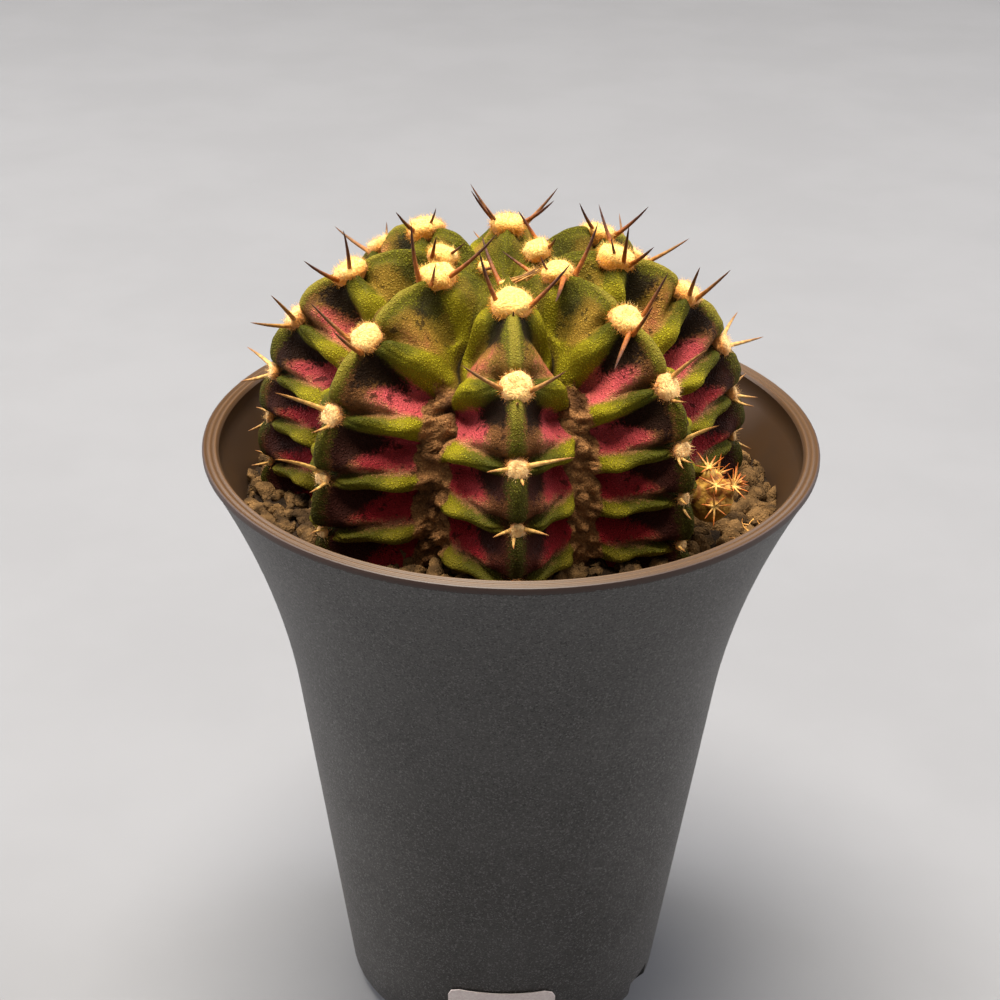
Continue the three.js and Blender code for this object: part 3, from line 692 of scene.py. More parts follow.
def skinMaterial():
    look = skinLook
    material, shader = startMaterial("velvetSkin", roughness=0.62, specular=0.06)
    grain = beadGrain(look["grainScale"], look["grainGap"])
    beads = grain["Beads"]
    cloud = mottle(*look["clouds"], out="Raw")
    # each edge between colours wanders with the clouds and breaks up bead by bead
    wander = timesPlus(cloud, look["wander"], -look["wander"] / 2)
    broken = timesPlus(grain["Tint"], look["breakUp"], -look["breakUp"] / 2)
    blur = calculate("ADD", wander, broken)
    age = timesPlus(wander, look["ageWander"], readValue("ageMark"))

    def mark(name):
        low, high, spread = markEdges[name]
        return ramp(timesPlus(blur, spread, readValue(name)), low, high)

    def aged(name):
        return ramp(age, *ageSpans[name])

    paleTone = layered(look["paleYoung"], (aged("grown"), look["pale"]))
    paleHere = times(mark("paleMark"), timesPlus(beads, *look["paleBeads"]))
    # the blush darkens lower down, partly with age and partly as painted shade
    blushTone = layered(look["blush"], (aged("blushOldShaded"), look["blushOldShaded"]))
    darkTone = layered(look["darkGreen"], (aged("dark"), look["dark"]),
                       (aged("darkOld"), look["darkOld"]))
    edgeTone = layered(look["edge"], (beads, look["edgeLit"]), (aged("edgeOld"), look["edgeOld"]))
    # the band turns to the edge colour in the gaps between beads: painted shade
    bandTone = layered(
        look["bandStart"], (ramp(readValue("acrossMark"), *look["grownBand"]), look["bandEnd"]),
        (aged("bandOld"), look["bandOld"]), (ramp(beads, *look["bandBeadGapShade"]), look["edge"]),
        (times(mark("shadeMark"), look["upperShare"]), look["bandStart"]))
    corkTone = layered(look["corkDark"], (ramp(cloud, *look["corkCloud"]), look["cork"]))
    cork = mark("corkMark")
    # towards the root the skin darkens, partly with age and partly as painted shade
    colour = layered(
        look["young"], (aged("grown"), look["grown"]), (aged("old"), look["old"]),
        (times(paleHere, aged("paleFade")), paleTone),
        (times(mark("blushMark"), aged("blush")), blushTone),
        (times(mottle(*look["specks"]), look["speckShare"]), look["dark"]),
        (mark("darkMark"), darkTone), (mark("edgeMark"), edgeTone), (mark("keelMark"), look["keel"]),
        (times(aged("youngGreen"), look["greenShare"]), edgeTone), (mark("bandMark"), bandTone),
        # painted shade: a dark line along the upper furrows
        (ramp(readValue("furrowShadeMark"), *look["furrowShadeEdge"]), look["furrow"]),
        (cork, corkTone))
    # tops of the beads lifted as painted highlight (partly their own paler tips), gaps between them
    # darkened as painted shade
    gaps = layered(look["beadGapShade"], (beads, look["beadTopHighlight"]))
    colour = mixColour(look["beadShadingShare"], colour, gaps, "MULTIPLY")
    # fine folds on the cork, beads everywhere else
    beadHeight = times(beads, timesPlus(cork, *look["corkBeads"]))
    height = timesPlus(mottle(*look["folds"]), cork, beadHeight)
    return endMaterial(material, shader, colour, height, depth=0.4)


skin = makeSkin()
skin.data.materials.append(skinMaterial())
finishPiece(skin, "skin", "cactus_body")


# Areoles: a felted wool pad with fine fibres, and its spines

wool = {
    "atCrown": 2.6, "widest": 6.6, "widestArc": 17, "loss": 0.095, "least": 2.6,
    "plumpness": 0.72, "lift": 0.12, "sides": 20, "tiers": 12, "dimple": 0.85, "dimpleWidth": 0.42,
    "dimpleEnd": 1.6, "full": 0.94, "wither": 0.16, "witherArc": (30, 56), "lump": 0.2, "lumpScale": 1.6,
    "lumpShift": 3.7, "fibreDensity": 1.25e7, "fibreLength": 0.95, "fibreWidth": 0.055, "splay": 0.9,
}


def woolWidth(arc):
    if arc < wool["widestArc"] / 2:
        return wool["atCrown"]
    full = max(wool["least"], wool["widest"] - wool["loss"] * max(0, arc - wool["widestArc"]))
    share = arc / wool["widestArc"]
    return min(full, wool["atCrown"] * (1 - share) + wool["widest"] * share)


def listAreoles():
    found = []
    for rib in ribs:
        arcs = [arc for arc in grownArcs(rib) if arc < cactus["buriedArc"]]
        for i, arc in enumerate(arcs):
            point, normal, side, upward = crestFrame(arc, math.radians(rib["turn"]))
            width = woolWidth(arc)
            found.append({
                "node": f"areole_{rib['name']}_{i + 1}", "arc": arc, "age": arc / cactus["ageArc"],
                "width": width, "normal": normal, "side": side, "upward": upward,
                "centre": point + wool["lift"] * width * normal,
                "spines": rib["spines"][min(i, len(rib["spines"]) - 1)],
            })
    return found


areoles = listAreoles()
areoleNodes = [areole["node"] for areole in areoles]


def makePads():
    points, faces, ages, heights = [], [], [], []
    for number, areole in enumerate(areoles):
        withered = wool["wither"] * smoothStep(areole["arc"], *wool["witherArc"])
        half = areole["width"] / 2 * (wool["full"] - withered)
        dimple = wool["dimple"] * (0.4 + 0.6 * (number * 7 % 5) / 4)  # its depth differs from pad to pad

        def onPad(angle, turn):
            spot = Vector(sphereWay(angle, turn)) * wool["lumpScale"]
            lump = 1 + wool["lump"] * noise.noise(spot + Vector((number * wool["lumpShift"], 0, 0)))
            sink = dimple * hump(math.sin(angle), 0, wool["dimpleWidth"]) * (angle < wool["dimpleEnd"])
            out = half * wool["plumpness"] * (math.cos(angle) * lump - 0.5 * sink)
            wide = half * lump * math.sin(angle)
            return (areole["centre"] + areole["normal"] * out + areole["side"] * wide * math.cos(turn)
                    + areole["upward"] * wide * math.sin(turn)), math.cos(angle)

        faces += globeFaces(wool["tiers"] - 1, wool["sides"], len(points))
        padPoints, padHeights = onGlobe(wool["tiers"], wool["sides"], onPad)
        points += padPoints
        heights += padHeights
        ages += [areole["age"]] * len(padPoints)
    pads = makeMesh("woolPads", points, faces)
    storeValues(pads, "ageMark", ages)
    storeValues(pads, "padHeight", heights)
    return pads


def buildFibreTree():
    given, result = startTree("feltFibres", Density=1e7, Length=0.001, Width=0.00005, Splay=0.6, Seed=3)
    spread = makeNode("GeometryNodeDistributePointsOnFaces", {
        "Mesh": given["Geometry"], "Density": given["Density"], "Seed": given["Seed"]}).outputs
    fibre = geo("MeshCone", {
        "Vertices": 3, "Radius Top": 0.0, "Radius Bottom": times(given["Width"], 0.5),
        "Depth": given["Length"]}, "Mesh", fill_type="NGON")
    tilt = randomValue((-1.0,) * 3, (1.0,) * 3, seed=11, isVector=True)
    tilt = vectorMath("SCALE", tilt, times(given["Splay"], -1.0))
    away = vectorMath("ADD", spread["Normal"], tilt)
    turned = addNode("FunctionNodeAlignRotationToVector", {"Vector": away}, axis="Z")
    placed = geo("InstanceOnPoints", {
        "Points": spread["Points"], "Instance": fibre, "Rotation": turned,
        "Scale": randomValue(0.45, 1.15, seed=5)})
    joined = makeNode("GeometryNodeJoinGeometry")
    setSocket(joined.inputs[0], geo("RealizeInstances", {"Geometry": placed}))
    setSocket(joined.inputs[0], given["Geometry"])
    return endTree(given, result, joined.outputs[0], smooth=False)


woolLook = {
    "crown": rgb(248, 216, 128), "lower": rgb(250, 210, 144), "shaded": rgb(230, 150, 40),
    "lowerShaded": rgb(218, 142, 66), "lowerAge": (0.2, 0.55), "shadedHeight": (0.7, -0.15),
    "shadedShare": 0.9, "strandShare": 0.38, "strands": (2400.0, 2.0),
}


def woolMaterial():
    look = woolLook
    material, shader = startMaterial("feltWool", roughness=0.95, specular=0.1, sheen=0.25)
    age = ramp(readValue("ageMark"), *look["lowerAge"])
    low = ramp(readValue("padHeight"), *look["shadedHeight"])
    strands = mottle(*look["strands"])
    shaded = layered(look["shaded"], (age, look["lowerShaded"]))
    colour = layered(look["crown"], (age, look["lower"]), (times(low, look["shadedShare"]), shaded),
                     (times(strands, look["strandShare"]), shaded))
    return endMaterial(material, shader, colour, strands, depth=0.12)


pads = runTree("woolPads", makePads(), buildFibreTree(), {
    "Density": wool["fibreDensity"], "Length": wool["fibreLength"] * mm,
    "Width": wool["fibreWidth"] * mm, "Splay": wool["splay"], "Material": woolMaterial()})
finishPiece(pads, "wool", *areoleNodes)


spine = {
    "radius": 0.42, "bend": 14, "bendRange": (0.7, 1.2), "hookedUnder": 3.6, "hook": 1.6,
    "rootOut": 0.3, "rootShift": 0.2, "shiftArc": (48, 28), "stations": 10, "sides": 7,
    "roughness": 0.05, "trim": 0.08, "thinnest": 0.55, "fullLength": 20, "seed": 8,
    "taper": 0.55, "rootSwell": 1.25, "swellEnd": 0.12, "leastRadius": 0.02,
}
# thin spines that lie across the crown: how many, radius, height over it, where they start and run
crownSpine = {
    "count": 11, "radius": 0.15, "lift": 1.1, "age": 0.45, "seed": 4, "arch": 0.2,
    "start": ((-1.5, 2), (-6, 1)), "run": ((3.8, 5.5), (-1.8, 1.2)),
}


def spinePath(base, direction, towards, length, bend):
    share = np.linspace(0, 1, spine["stations"])[:, None]
    return base + direction * share * length + towards * bend * length * share ** 2


def tracePaths(name, paths, values):
    # each path is a chain of edges, and each value a number for the whole path
    lengths = [len(path) for path in paths]
    starts = np.cumsum([0, *lengths[:-1]])
    edges = [(start + i, start + i + 1) for start, length in zip(starts.tolist(), lengths)
             for i in range(length - 1)]
    traced = makeMesh(name, np.concatenate(paths), edges=edges)
    for key, numbers in values.items():
        storeValues(traced, key, np.repeat(numbers, lengths))
    return traced


def grownSpines():
    # path, radius and age of each spine
    rng = np.random.default_rng(spine["seed"])
    rows = []
    for areole in areoles:
        for clock, lean, length in areole["spines"]:
            clock, lean = math.radians(clock), math.radians(lean)
            sideways = areole["side"] * math.sin(clock) + areole["upward"] * math.cos(clock)
            direction = areole["normal"] * math.cos(lean) + sideways * math.sin(lean)
            towards = unit(areole["normal"] - direction * float(areole["normal"] @ direction))
            base = areole["centre"] + spine["rootOut"] * areole["width"] * sideways
            tip = base + direction * (length - spine["trim"])
            young = smoothStep(areole["arc"], *spine["shiftArc"])
            base = base - spine["rootShift"] * young * areole["width"] * areole["upward"]
            reach = np.linalg.norm(tip - base)
            bend = math.tan(math.radians(spine["bend"])) * 0.5
            bend *= rng.uniform(*spine["bendRange"]) + spine["hook"] * (length < spine["hookedUnder"])
            radius = spine["radius"] * min(1, spine["thinnest"] + length / spine["fullLength"])
            path = spinePath(base, (tip - base) / reach, towards, reach, bend)
            rows.append((path, radius, areole["age"]))
    return rows


def crownSpines():
    rng = np.random.default_rng(crownSpine["seed"])
    half = cactus["samples"] // 2
    rows = []

    def overCrown(place):
        height = np.interp(math.hypot(*place), crestRadius[:half], crestHeight[:half])
        return np.array([*(place + cactus["centre"]), height + crownSpine["lift"]])

    for _ in range(crownSpine["count"]):
        root = np.array([rng.uniform(*span) for span in crownSpine["start"]])
        tip = root + [rng.uniform(*span) for span in crownSpine["run"]]
        lower, upper = overCrown(root), overCrown(tip)
        path = spinePath(lower, upper - lower, np.array([0, 0, crownSpine["arch"]]), 1.0, 1.0)
        rows.append((path, crownSpine["radius"], crownSpine["age"]))
    return rows


def buildSpineTree():
    given, result = startTree("taperedSpines", Sides=7, Roughness=0.00005, Taper=0.55, Root_Swell=1.25,
                              Swell_End=0.12, Thinnest=0.00002)
    curve = geo("MeshToCurve", {0: given["Geometry"]})
    share = geo("SplineParameter", out="Factor")
    taper = calculate("POWER", minus(1.0, share), given["Taper"])
    swell = ramp(share, 0.0, given["Swell End"], given["Root Swell"], 1.0)
    thick = geo("InputNamedAttribute", {"Name": "thickness"})
    radius = times(times(taper, swell), thick)
    marked = geo("StoreNamedAttribute", {"Geometry": curve, "Name": "along", "Value": share})
    section = geo("CurvePrimitiveCircle", {"Resolution": given["Sides"], "Radius": 1.0})
    solid = geo("CurveToMesh", {
        "Curve": marked, "Profile Curve": section, "Fill Caps": True,
        "Scale": calculate("MAXIMUM", radius, given["Thinnest"])})
    return endTree(given, result, shake(solid, given["Roughness"], scale=1800.0, detail=2.0))


spineTree = buildSpineTree()
hornLook = {
    "crownBase": rgb(178, 100, 34), "crownTip": rgb(72, 36, 20), "lowerBase": rgb(222, 176, 100),
    "lowerTip": rgb(156, 104, 54),
}
# what both kinds of spine share: their streaks, the ages that part crown from lower spines, and where
# along a spine its tip's colour comes in
spineTones = {
    "streaks": (1500.0, 3.0), "tones": ((1, 1, 1, 1), (0.5, 0.42, 0.36, 1)), "share": 0.8,
    "age": (0.3, 0.6), "crownTip": (0.0, 0.8), "lowerTip": (0.3, 1.0),
}


def spineMaterial(name, look):
    material, shader = startMaterial(name, roughness=0.5, specular=0.3)
    along = readValue("along")
    age = ramp(readValue("ageMark"), *spineTones["age"])
    streak = mottle(*spineTones["streaks"])
    upper = layered(look["crownBase"], (ramp(along, *spineTones["crownTip"]), look["crownTip"]))
    lower = layered(look["lowerBase"], (ramp(along, *spineTones["lowerTip"]), look["lowerTip"]))
    shade = mixColour(streak, *spineTones["tones"])
    colour = mixColour(spineTones["share"], mixColour(age, upper, lower), shade, "MULTIPLY")
    return endMaterial(material, shader, colour, streak, depth=0.05)


def makeSpines(name, rows, sides, roughness, material):
    paths, radii, ages = zip(*rows)
    traced = tracePaths(name, paths, {"thickness": np.array(radii) * mm, "ageMark": ages})
    return runTree(name, traced, spineTree, {
        "Sides": sides, "Roughness": roughness * mm, "Taper": spine["taper"],
        "Root Swell": spine["rootSwell"], "Swell End": spine["swellEnd"],
        "Thinnest": spine["leastRadius"] * mm, "Material": material})


spines = makeSpines("spines", grownSpines() + crownSpines(), spine["sides"], spine["roughness"],
                    spineMaterial("hornSpine", hornLook))
finishPiece(spines, "wool", *areoleNodes)


# Dried offset: a shrivelled globe with a few tubercles, a star of thin spines on each

offset = {
    "turn": 58, "reach": 37.8, "height": 109.3, "radius": 3.5, "sides": 72, "tiers": 44,
    "wrinkle": 0.16, "wrinkleScale": 3.2, "sunk": 0.2, "spineLength": 3.3, "spineRadius": 0.23,
    "spineSides": 5, "roughness": 0.02, "clockRange": 0.25, "lean": (42, 80), "lengths": (0.6, 1.0),
    "bends": (-0.12, 0.12), "thickness": (0.75, 1.1), "seed": 21,
}
# each tubercle: its direction from the middle of the offset, height, width and number of spines
tubercles = (((-0.78, -0.42, 0.5), 1.6, 0.3, 7), ((-0.07, 0.13, 0.98), 1.7, 0.28, 8),
             ((0.66, -0.35, 0.66), 1.5, 0.28, 9), ((0.05, -0.97, 0.24), 1.3, 0.24, 7),
             ((0.1, -0.6, 0.79), 1.4, 0.26, 7), ((0.3, 0.8, 0.5), 1.5, 0.32, 7),
             ((0.8, 0.2, 0.5), 1.4, 0.28, 8))
# dry fibres on the gravel beside the offset
straw = {
    "count": 9, "radius": 0.14, "turn": (58, 74), "reach": (39.5, 42.5), "height": (100.6, 101.4),
    "length": (2.2, 4.2), "bow": (-2, 2), "slope": (0.04, 0.1), "stations": 8, "seed": 5,
}

offsetTurn = math.radians(offset["turn"])
offsetCentre = np.array([offset["reach"] * math.sin(offsetTurn) + cactus["centre"][0],
                         -offset["reach"] * math.cos(offsetTurn) + cactus["centre"][1], offset["height"]])


def makeOffset():
    knobs = unit(np.array([row[0] for row in tubercles]))
    heights, widths = np.array([row[1:3] for row in tubercles]).T

    def onOffset(angle, turn):
        way = sphereWay(angle, turn)
        apart = np.arccos(np.clip(knobs @ way, -1, 1))
        bulge = (heights * hump(apart, 0, widths)).max()
        wrinkle = offset["wrinkle"] * noise.fractal(Vector(way * offset["wrinkleScale"]), 1.0, 2.0, 3)
        return offsetCentre + way * (offset["radius"] + bulge + wrinkle), bulge / heights.max()

    points, bulges = onGlobe(offset["tiers"], offset["sides"], onOffset)
    globe = makeMesh("driedOffset", points, globeFaces(offset["tiers"] - 1, offset["sides"]))
    storeValues(globe, "bulgeMark", bulges)
    return globe


offsetLook = {
    "gap": rgb(112, 54, 18), "knob": rgb(222, 180, 96), "bulb": rgb(184, 140, 54),
    "stain": rgb(124, 70, 26), "ringShare": 0.8, "cloudShare": 0.35, "stainShare": 0.5,
    "blotches": (1100.0, 4.0, 0.45, 0.62), "clouds": (400.0, 2.0), "ringStart": (0.04, 0.2),
    "ringEnd": (0.5, 0.25), "knobEdge": (0.4, 0.7),
}


def offsetMaterial():
    look = offsetLook
    material, shader = startMaterial("driedSkin", roughness=0.6, specular=0.2)
    blotch, cloud = mottle(*look["blotches"]), mottle(*look["clouds"])
    bulge = readValue("bulgeMark")
    ring = times(ramp(bulge, *look["ringStart"]), ramp(bulge, *look["ringEnd"]))
    colour = layered(look["bulb"], (times(ring, look["ringShare"]), look["gap"]),
                     (ramp(bulge, *look["knobEdge"]), look["knob"]),
                     (times(cloud, look["cloudShare"]), look["gap"]),
                     (times(blotch, look["stainShare"]), look["stain"]))
    return endMaterial(material, shader, colour, blotch, depth=0.1)


def starSpines():
    rng = np.random.default_rng(offset["seed"])
    rows = []
    for direction, height, _, count in tubercles:
        way = unit(np.array(direction))
        side = unit(np.cross(way, (0.3, 0.2, 1.0)))
        other = np.cross(way, side)
        tip = offsetCentre + way * (offset["radius"] + height - offset["sunk"])
        for i in range(count):
            clock = 2 * math.pi * (i + rng.uniform(-offset["clockRange"], offset["clockRange"])) / count
            lean = math.radians(rng.uniform(*offset["lean"]))
            spread = side * math.cos(clock) + other * math.sin(clock)
            aim = way * math.cos(lean) + spread * math.sin(lean)
            length = offset["spineLength"] * rng.uniform(*offset["lengths"])
            path = spinePath(tip, aim, way, length, rng.uniform(*offset["bends"]))
            rows.append((path, offset["spineRadius"] * rng.uniform(*offset["thickness"]), 0.0))
    return rows


def strawPaths():
    rng = np.random.default_rng(straw["seed"])
    rows = []
    for _ in range(straw["count"]):
        turn = math.radians(rng.uniform(*straw["turn"]))
        reach = rng.uniform(*straw["reach"])
        start = np.array([reach * math.sin(turn), -reach * math.cos(turn), rng.uniform(*straw["height"])])
        heading = math.radians(rng.uniform(0, 360))
        along = np.array([math.cos(heading), math.sin(heading), straw["slope"][0]])
        across = np.array([-along[1], along[0], straw["slope"][1]])
        length = rng.uniform(*straw["length"])
        share = np.linspace(-0.5, 0.5, straw["stations"])[:, None]
        path = start + along * share * length + across * (share ** 2) * rng.uniform(*straw["bow"])
        rows.append((path, straw["radius"], 1.0))
    return rows


globe = makeOffset()
globe.data.materials.append(offsetMaterial())
finishPiece(globe, "dry_skin", "dried_offset")
amberLook = {
    "crownBase": rgb(246, 204, 116), "crownTip": rgb(198, 104, 34), "lowerBase": rgb(216, 160, 84),
    "lowerTip": rgb(176, 112, 50),
}
thinSpines = makeSpines("offsetSpines", starSpines() + strawPaths(), offset["spineSides"],
                        offset["roughness"], spineMaterial("amberSpine", amberLook))
finishPiece(thinSpines, "dry_skin", "dried_offset")


# Gravel: loose stones over the bed

gravel = {
    "inner": 25.0, "outer": 43.3, "wall": 43.9, "top": 99.0, "mound": 1.4, "moundRadius": 37.4,
    "sheetSides": 96, "sheetRings": 8, "density": 2.5e5, "stone": 1.65, "least": 0.45, "most": 1.25,
    "chip": 0.9, "seed": 4,
}


def makeGravelSheet():
    # a ring at the level of the bed, on which the stones are strewn
    sides, rings = gravel["sheetSides"], gravel["sheetRings"]
    points, faces = [], []
    for radius in np.linspace(gravel["inner"], gravel["outer"], rings):
        share = np.clip((gravel["outer"] - radius) / (gravel["outer"] - gravel["moundRadius"]), 0, 1)
        for turn in 2 * math.pi * np.arange(sides) / sides:
            points.append((radius * math.cos(turn), radius * math.sin(turn),
                           gravel["top"] + share * gravel["mound"]))
    for here in range(0, (rings - 1) * sides, sides):
        for i in range(sides):
            j = (i + 1) % sides
            faces.append((here + i, here + sides + i, here + sides + j, here + j))
    return makeMesh("looseStones", points, faces)


def buildStoneTree():
    given, result = startTree("strewnStones", Density=1e5, Stone_Radius=0.0017, Least=0.5, Most=1.2,
                              Chip=0.0009, Wall=0.04, Seed=4)
    spread = geo("DistributePointsOnFaces", {
        "Mesh": given["Geometry"], "Density": given["Density"], "Seed": given["Seed"]}, "Points")
    stone = geo("MeshIcoSphere", {"Radius": given["Stone Radius"], "Subdivisions": 2}, "Mesh")
    turn = randomValue((0.0,) * 3, (6.283,) * 3, seed=2, isVector=True)
    even = randomValue(given["Least"], given["Most"], seed=7)
    odd = randomValue((0.75, 0.75, 0.6), (1.3, 1.1, 0.95), seed=9, isVector=True)  # its proportions
    placed = geo("InstanceOnPoints", {
        "Points": spread, "Instance": stone, "Rotation": turn, "Scale": vectorMath("SCALE", odd, even)})
    real = geo("RealizeInstances", {"Geometry": placed})
    chipped = shake(real, times(given["Chip"], 4.0), scale=330.0, detail=1.5)
    # stones that lean on the pot are pressed back inside its wall
    flat = vectorMath("MULTIPLY", geo("InputPosition"), (1.0, 1.0, 0.0))
    share = calculate("DIVIDE", given["Wall"], vectorMath("LENGTH", flat))
    over = minus(calculate("MINIMUM", share, 1.0), 1.0)
    pressed = geo("SetPosition", {"Geometry": chipped, "Offset": vectorMath("SCALE", flat, over)})
    return endTree(given, result, pressed)


def stoneMaterial(name, dark, light, size):
    material, shader = startMaterial(name, roughness=0.9, specular=0.12)
    patch = mottle(size, detail=4.0, low=0.35, high=0.68)
    grit = beadGrain(scale=2600.0, gap=0.7)["Beads"]
    colour = layered(dark, (patch, light), (timesPlus(grit, -0.4, 0.4), dark))  # darker between grains
    return endMaterial(material, shader, colour, grit, depth=0.14)


# each mineral finish: its dark and light colour, and the scale of its patches
stoneLooks = {
    "lavaStone": (rgb(54, 39, 23), rgb(144, 109, 68), 260.0),
    # the bed under the stones is much darker than the stones: painted shade for the gaps between them
    "shadedGravelBed": (rgb(26, 18, 11), rgb(56, 40, 25), 500.0),
    "peatMix": (rgb(30, 22, 16), rgb(84, 62, 44), 700.0),
}
stoneFinish = {name: stoneMaterial(name, *look) for name, look in stoneLooks.items()}
stones = runTree("looseStones", makeGravelSheet(), buildStoneTree(), {
    "Density": gravel["density"], "Stone Radius": gravel["stone"] * mm, "Least": gravel["least"],
    "Most": gravel["most"], "Chip": gravel["chip"] * mm, "Wall": gravel["wall"] * mm,
    "Seed": gravel["seed"], "Material": stoneFinish["lavaStone"]})
finishPiece(stones, "gravel")
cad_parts["gravel_bed"].data.materials[0] = stoneFinish["shadedGravelBed"]
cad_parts["potting_mix"].data.materials[0] = stoneFinish["peatMix"]


# Pot: one turned moulding with a grooved lip, a ring foot and four drain slots

# The rounds are points of the outline: how far inside the rim or the lip's inner edge, and how far
# over the lip's foot or under the top.
pot = {
    "height": 110.0, "rim": 50.0, "lipHeight": 1.3, "lipWidth": 2.4, "bandDrop": 2.6,
    "wallAtRim": 42.0, "wallTaper": 0.127, "flareHeight": 45.0, "flareReach": 8.4, "wall": 1.5,
    "foot": 26.2, "ring": 4.0, "chamfer": 3.5, "recess": 2.2, "floor": 1.6, "sides": 192,
    "slotCount": 4, "slotWidth": 6.4, "slotHeight": 6.2, "slotTurn": 61, "slotInside": 1, "slotOutside": 5,
    "footRound": ((0.3, 0), (0.08, 0.12), (0, 0.4)), "rimRound": ((0, 0.45), (0.1, 0.14), (0.32, 0.02)),
    "innerRound": ((-0.22, 0.04), (0, 0.25), (0.25, 0.6)), "grooveDepth": 0.24, "grooveStations": 22,
    "ringRound": 0.25, "ringEdge": ((-0.3, 0), (0.1, 0.5)), "groovesFrom": (0.05, 0.95),
    "grooveMargin": 0.6,
    "flareStart": 62, "flareStep": 2, "lowRows": 12, "flareRows": 26, "innerRows": 10, "sharpFrom": 40,
}


def wallRadius(height):
    below = pot["height"] - height
    flare = max(0, 1 - below / pot["flareHeight"]) ** 2
    return pot["wallAtRim"] - pot["wallTaper"] * below + pot["flareReach"] * flare


def potOutline():
    # from the middle of the underside, up the outside, over the lip and down the inside
    top, rim, floorTop = pot["height"], pot["rim"], pot["recess"] + pot["floor"]
    lipFoot, inner = top - pot["lipHeight"], rim - pot["lipWidth"]
    low, high = pot["flareStart"], pot["flareStart"] + pot["flareStep"]
    ringInner, bevel = pot["foot"] - pot["ring"], pot["ringRound"]
    outer = [*np.linspace(pot["chamfer"], low, pot["lowRows"]),
             *np.linspace(high, lipFoot, pot["flareRows"])]
    lining = [*np.linspace(top - pot["bandDrop"], high, pot["flareRows"]),
              *np.linspace(low, floorTop, pot["innerRows"])]
    foot = [(0, pot["recess"]), (ringInner, pot["recess"]), (ringInner, bevel), (ringInner + bevel, 0)]
    foot += [(pot["foot"] + out, rise) for out, rise in pot["ringEdge"]]
    lip = [(rim - inset, lipFoot + rise) for inset, rise in pot["footRound"]]
    lip += [(rim - inset, top - drop) for inset, drop in pot["rimRound"]]
    inset, drop = pot["rimRound"][-1]
    for share in np.linspace(*pot["groovesFrom"], pot["grooveStations"]):
        dip = pot["grooveDepth"] * (0.5 - 0.5 * math.cos(4 * math.pi * share))
        lip.append((rim - inset - share * (pot["lipWidth"] - pot["grooveMargin"]), top - drop - dip))
    lip += [(inner - inset, top - drop) for inset, drop in pot["innerRound"]]
    outside = [(wallRadius(z), z) for z in outer]
    inside = [(wallRadius(z) - pot["wall"], z) for z in lining]
    return foot + outside + lip + inside + [(0, floorTop)]


def buildTurningTree():
    # turns an outline in the XZ plane round the Z axis, and cuts square slots through the foot
    given, result = startTree("turnedShell", Sides=64, Stations=10, Slot_Count=4, Slot_Reach=0.01,
                              Slot_Radius=0.02, Slot_Width=0.004, Slot_Height=0.008, Slot_Turn=0.0)

    def whole(operation, first, second):
        return addNode("FunctionNodeIntegerMath", {0: first, 1: second}, operation=operation)

    def turnedBy(vector, angle):
        return addNode("ShaderNodeVectorRotate", {"Vector": vector, "Angle": angle}, rotation_type="Z_AXIS")

    place, index = geo("InputPosition"), geo("InputIndex")
    grid = geo("MeshGrid", {
        "Vertices X": whole("ADD", given["Sides"], 1), "Vertices Y": given["Stations"]}, "Mesh")
    outline = geo("SampleIndex", {
        "Geometry": given["Geometry"], "Value": place,
        "Index": whole("MODULO", index, given["Stations"])}, data_type="FLOAT_VECTOR")
    share = calculate("DIVIDE", whole("DIVIDE", index, given["Stations"]), given["Sides"])
    turned = turnedBy(outline, times(share, -2 * math.pi))
    shell = geo("SetPosition", {"Geometry": grid, "Position": turned})
    closed = geo("MergeByDistance", {"Geometry": shell, "Distance": 0.005 * mm})
    circle = geo("MeshCircle", {"Vertices": given["Slot Count"], "Radius": given["Slot Radius"]})
    circle = geo("SetPosition", {"Geometry": circle, "Position": turnedBy(place, given["Slot Turn"])})
    size = addNode("ShaderNodeCombineXYZ", {
        0: given["Slot Reach"], 1: given["Slot Width"], 2: given["Slot Height"]})
    away = addNode("FunctionNodeAlignRotationToVector", {"Vector": place}, axis="X", pivot_axis="Z")
    cutters = geo("InstanceOnPoints", {
        "Points": circle, "Instance": geo("MeshCube", {"Size": size}, "Mesh"), "Rotation": away})
    cutters = geo("RealizeInstances", {"Geometry": cutters})
    cut = geo("MeshBoolean", {0: closed, 1: cutters}, operation="DIFFERENCE", solver="EXACT")
    return endTree(given, result, cut, smooth=False)


# the spans are heights, or distances from the axis or the wall, in mm
potLook = {
    "wall": rgb(67, 65, 64), "wallLow": rgb(54, 51, 49), "sparkle": rgb(104, 102, 101),
    "pit": rgb(28, 27, 27), "lip": rgb(80, 52, 20), "lipDark": rgb(62, 40, 18),
    "lipEdge": rgb(52, 33, 26), "lining": rgb(56, 38, 22), "grainScale": 4400.0, "grainGap": 0.75,
    "wallSpan": (20, 100), "grooveSpan": (109.62, 109.94), "edgeSpan": (49.5, 49.85),
    "lipSpan": (107.2, 107.6), "innerSpan": (0.4, 0.6), "liningSpan": (30, 40), "coatEnd": 108.6,
    "coatWander": 0.35, "coatFade": (0.0, 0.1), "roughness": 0.58, "smoother": -0.06,
    "sparkleTint": (0.6, 0.95), "pitTint": (0.32, 0.1), "clouds": (60.0, 4.0), "cloudShare": 0.12,
    "streaks": (2600.0, 2.0), "streakShare": 0.35,
}


def wallRadiusNode(height):
    # the wall's radius at a height, both in metres
    below = minus(pot["height"] * mm, height)
    flare = minus(1.0, calculate("DIVIDE", below, pot["flareHeight"] * mm))
    flare = calculate("POWER", calculate("MAXIMUM", flare, 0.0), 2.0)
    straight = timesPlus(below, -pot["wallTaper"], pot["wallAtRim"] * mm)
    return timesPlus(flare, pot["flareReach"] * mm, straight)


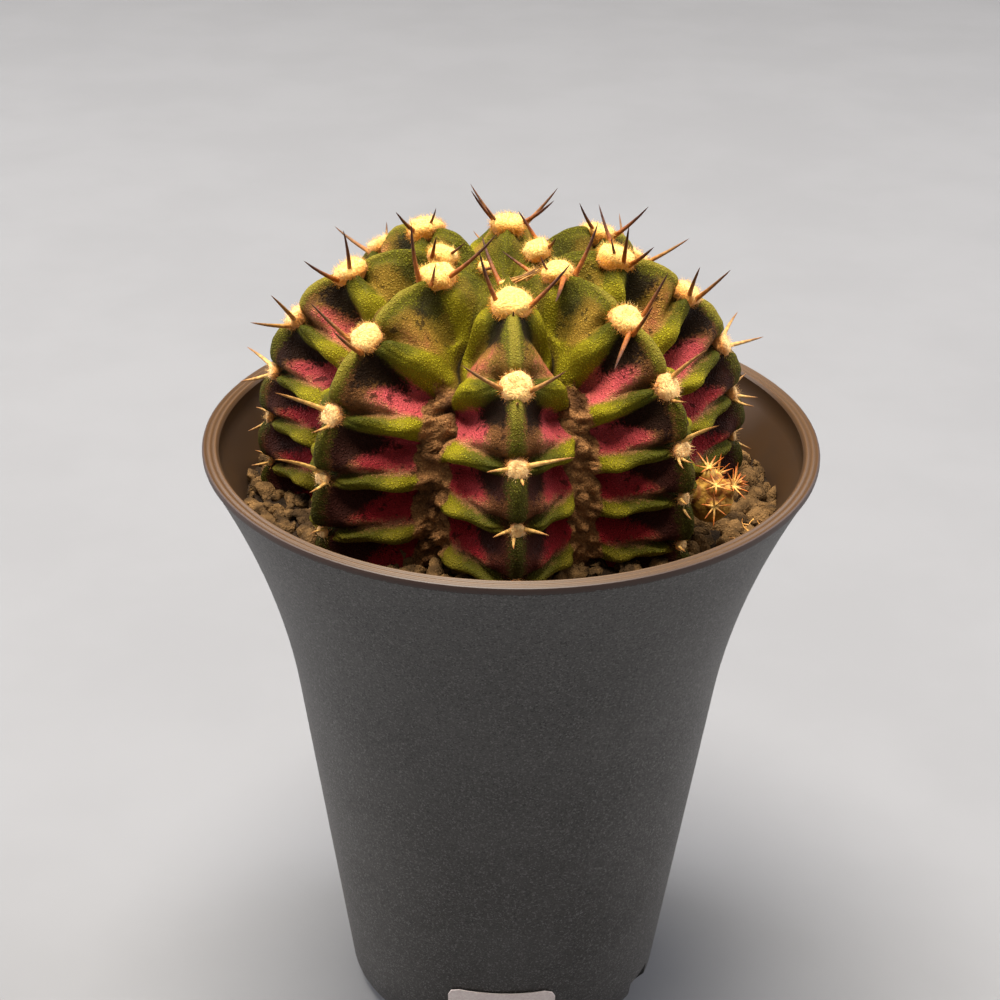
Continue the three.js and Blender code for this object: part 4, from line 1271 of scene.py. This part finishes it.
def potMaterial():
    look = potLook
    material, shader = startMaterial("matteMoulding")

    def span(value, key):
        low, high = look[key]
        return ramp(value, low * mm, high * mm)

    place = objectPlace()
    height = addNode("ShaderNodeSeparateXYZ", {0: place}, 2)
    radius = vectorMath("LENGTH", vectorMath("MULTIPLY", place, (1.0, 1.0, 0.0)))
    tint = beadGrain(look["grainScale"], look["grainGap"])["Tint"]
    cloud, streak = mottle(*look["clouds"]), mottle(*look["streaks"])
    wall = layered(look["wallLow"], (span(height, "wallSpan"), look["wall"]),
                   (ramp(tint, *look["sparkleTint"]), look["sparkle"]),
                   (ramp(tint, *look["pitTint"]), look["pit"]),
                   (times(cloud, look["cloudShare"]), look["sparkle"]))
    # the smooth lip and lining start where the grained coat ends
    lip = layered(look["lipDark"], (span(height, "grooveSpan"), look["lip"]),
                  (times(streak, look["streakShare"]), look["lipDark"]),
                  (span(radius, "edgeSpan"), look["lipEdge"]))
    lining = layered(look["lining"], (cloud, look["lipDark"]))
    smoothPart = layered(lining, (span(height, "lipSpan"), lip))
    inward = minus(wallRadiusNode(height), radius)
    isInner = times(span(inward, "innerSpan"), span(height, "liningSpan"))
    coatEnd = timesPlus(streak, look["coatWander"] * mm, look["coatEnd"] * mm)
    isSmooth = calculate("MAXIMUM", isInner, span(minus(height, coatEnd), "coatFade"))
    rough = timesPlus(isSmooth, look["smoother"], look["roughness"])
    setSocket(shader.inputs["Roughness"], rough)
    colour = layered(wall, (isSmooth, smoothPart))
    return endMaterial(material, shader, colour, times(tint, minus(1.0, isSmooth)), depth=0.1)


def makePot():
    outline = potOutline()
    traced = tracePaths("pot", [np.array([(r, 0, z) for r, z in outline])], {})
    slotReach = pot["slotInside"] + pot["ring"] + pot["slotOutside"]
    slotRadius = pot["foot"] - pot["ring"] - pot["slotInside"] + slotReach / 2
    shell = runTree("turnedPot", traced, buildTurningTree(), {
        "Sides": pot["sides"], "Stations": len(outline), "Slot Count": pot["slotCount"],
        "Slot Reach": slotReach * mm, "Slot Radius": slotRadius * mm,
        "Slot Width": pot["slotWidth"] * mm, "Slot Height": 2 * pot["slotHeight"] * mm,
        "Slot Turn": math.radians(pot["slotTurn"] - 90), "Material": potMaterial()})
    shell.data.shade_smooth()
    shell.data.set_sharp_from_angle(angle=math.radians(pot["sharpFrom"]))
    return shell


finishPiece(makePot(), "pot_plastic", "pot")


# Label: plain paper on the CAD sheet

paperLook = {
    "sheet": rgb(236, 224, 220), "fibre": rgb(224, 208, 206), "soil": rgb(190, 168, 160),
    "fibres": (2200.0, 3.0), "soiling": (300.0, 3.0, 0.5, 0.8), "soilShare": 0.25,
}


def paperMaterial():
    look = paperLook
    material, shader = startMaterial("plainPaper", roughness=0.8)
    fibre, soil = mottle(*look["fibres"]), mottle(*look["soiling"])
    colour = layered(look["sheet"], (fibre, look["fibre"]), (times(soil, look["soilShare"]), look["soil"]))
    return endMaterial(material, shader, colour, fibre, depth=0.03)


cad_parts["blank_label"].data.materials[0] = paperMaterial()
print("materials set")
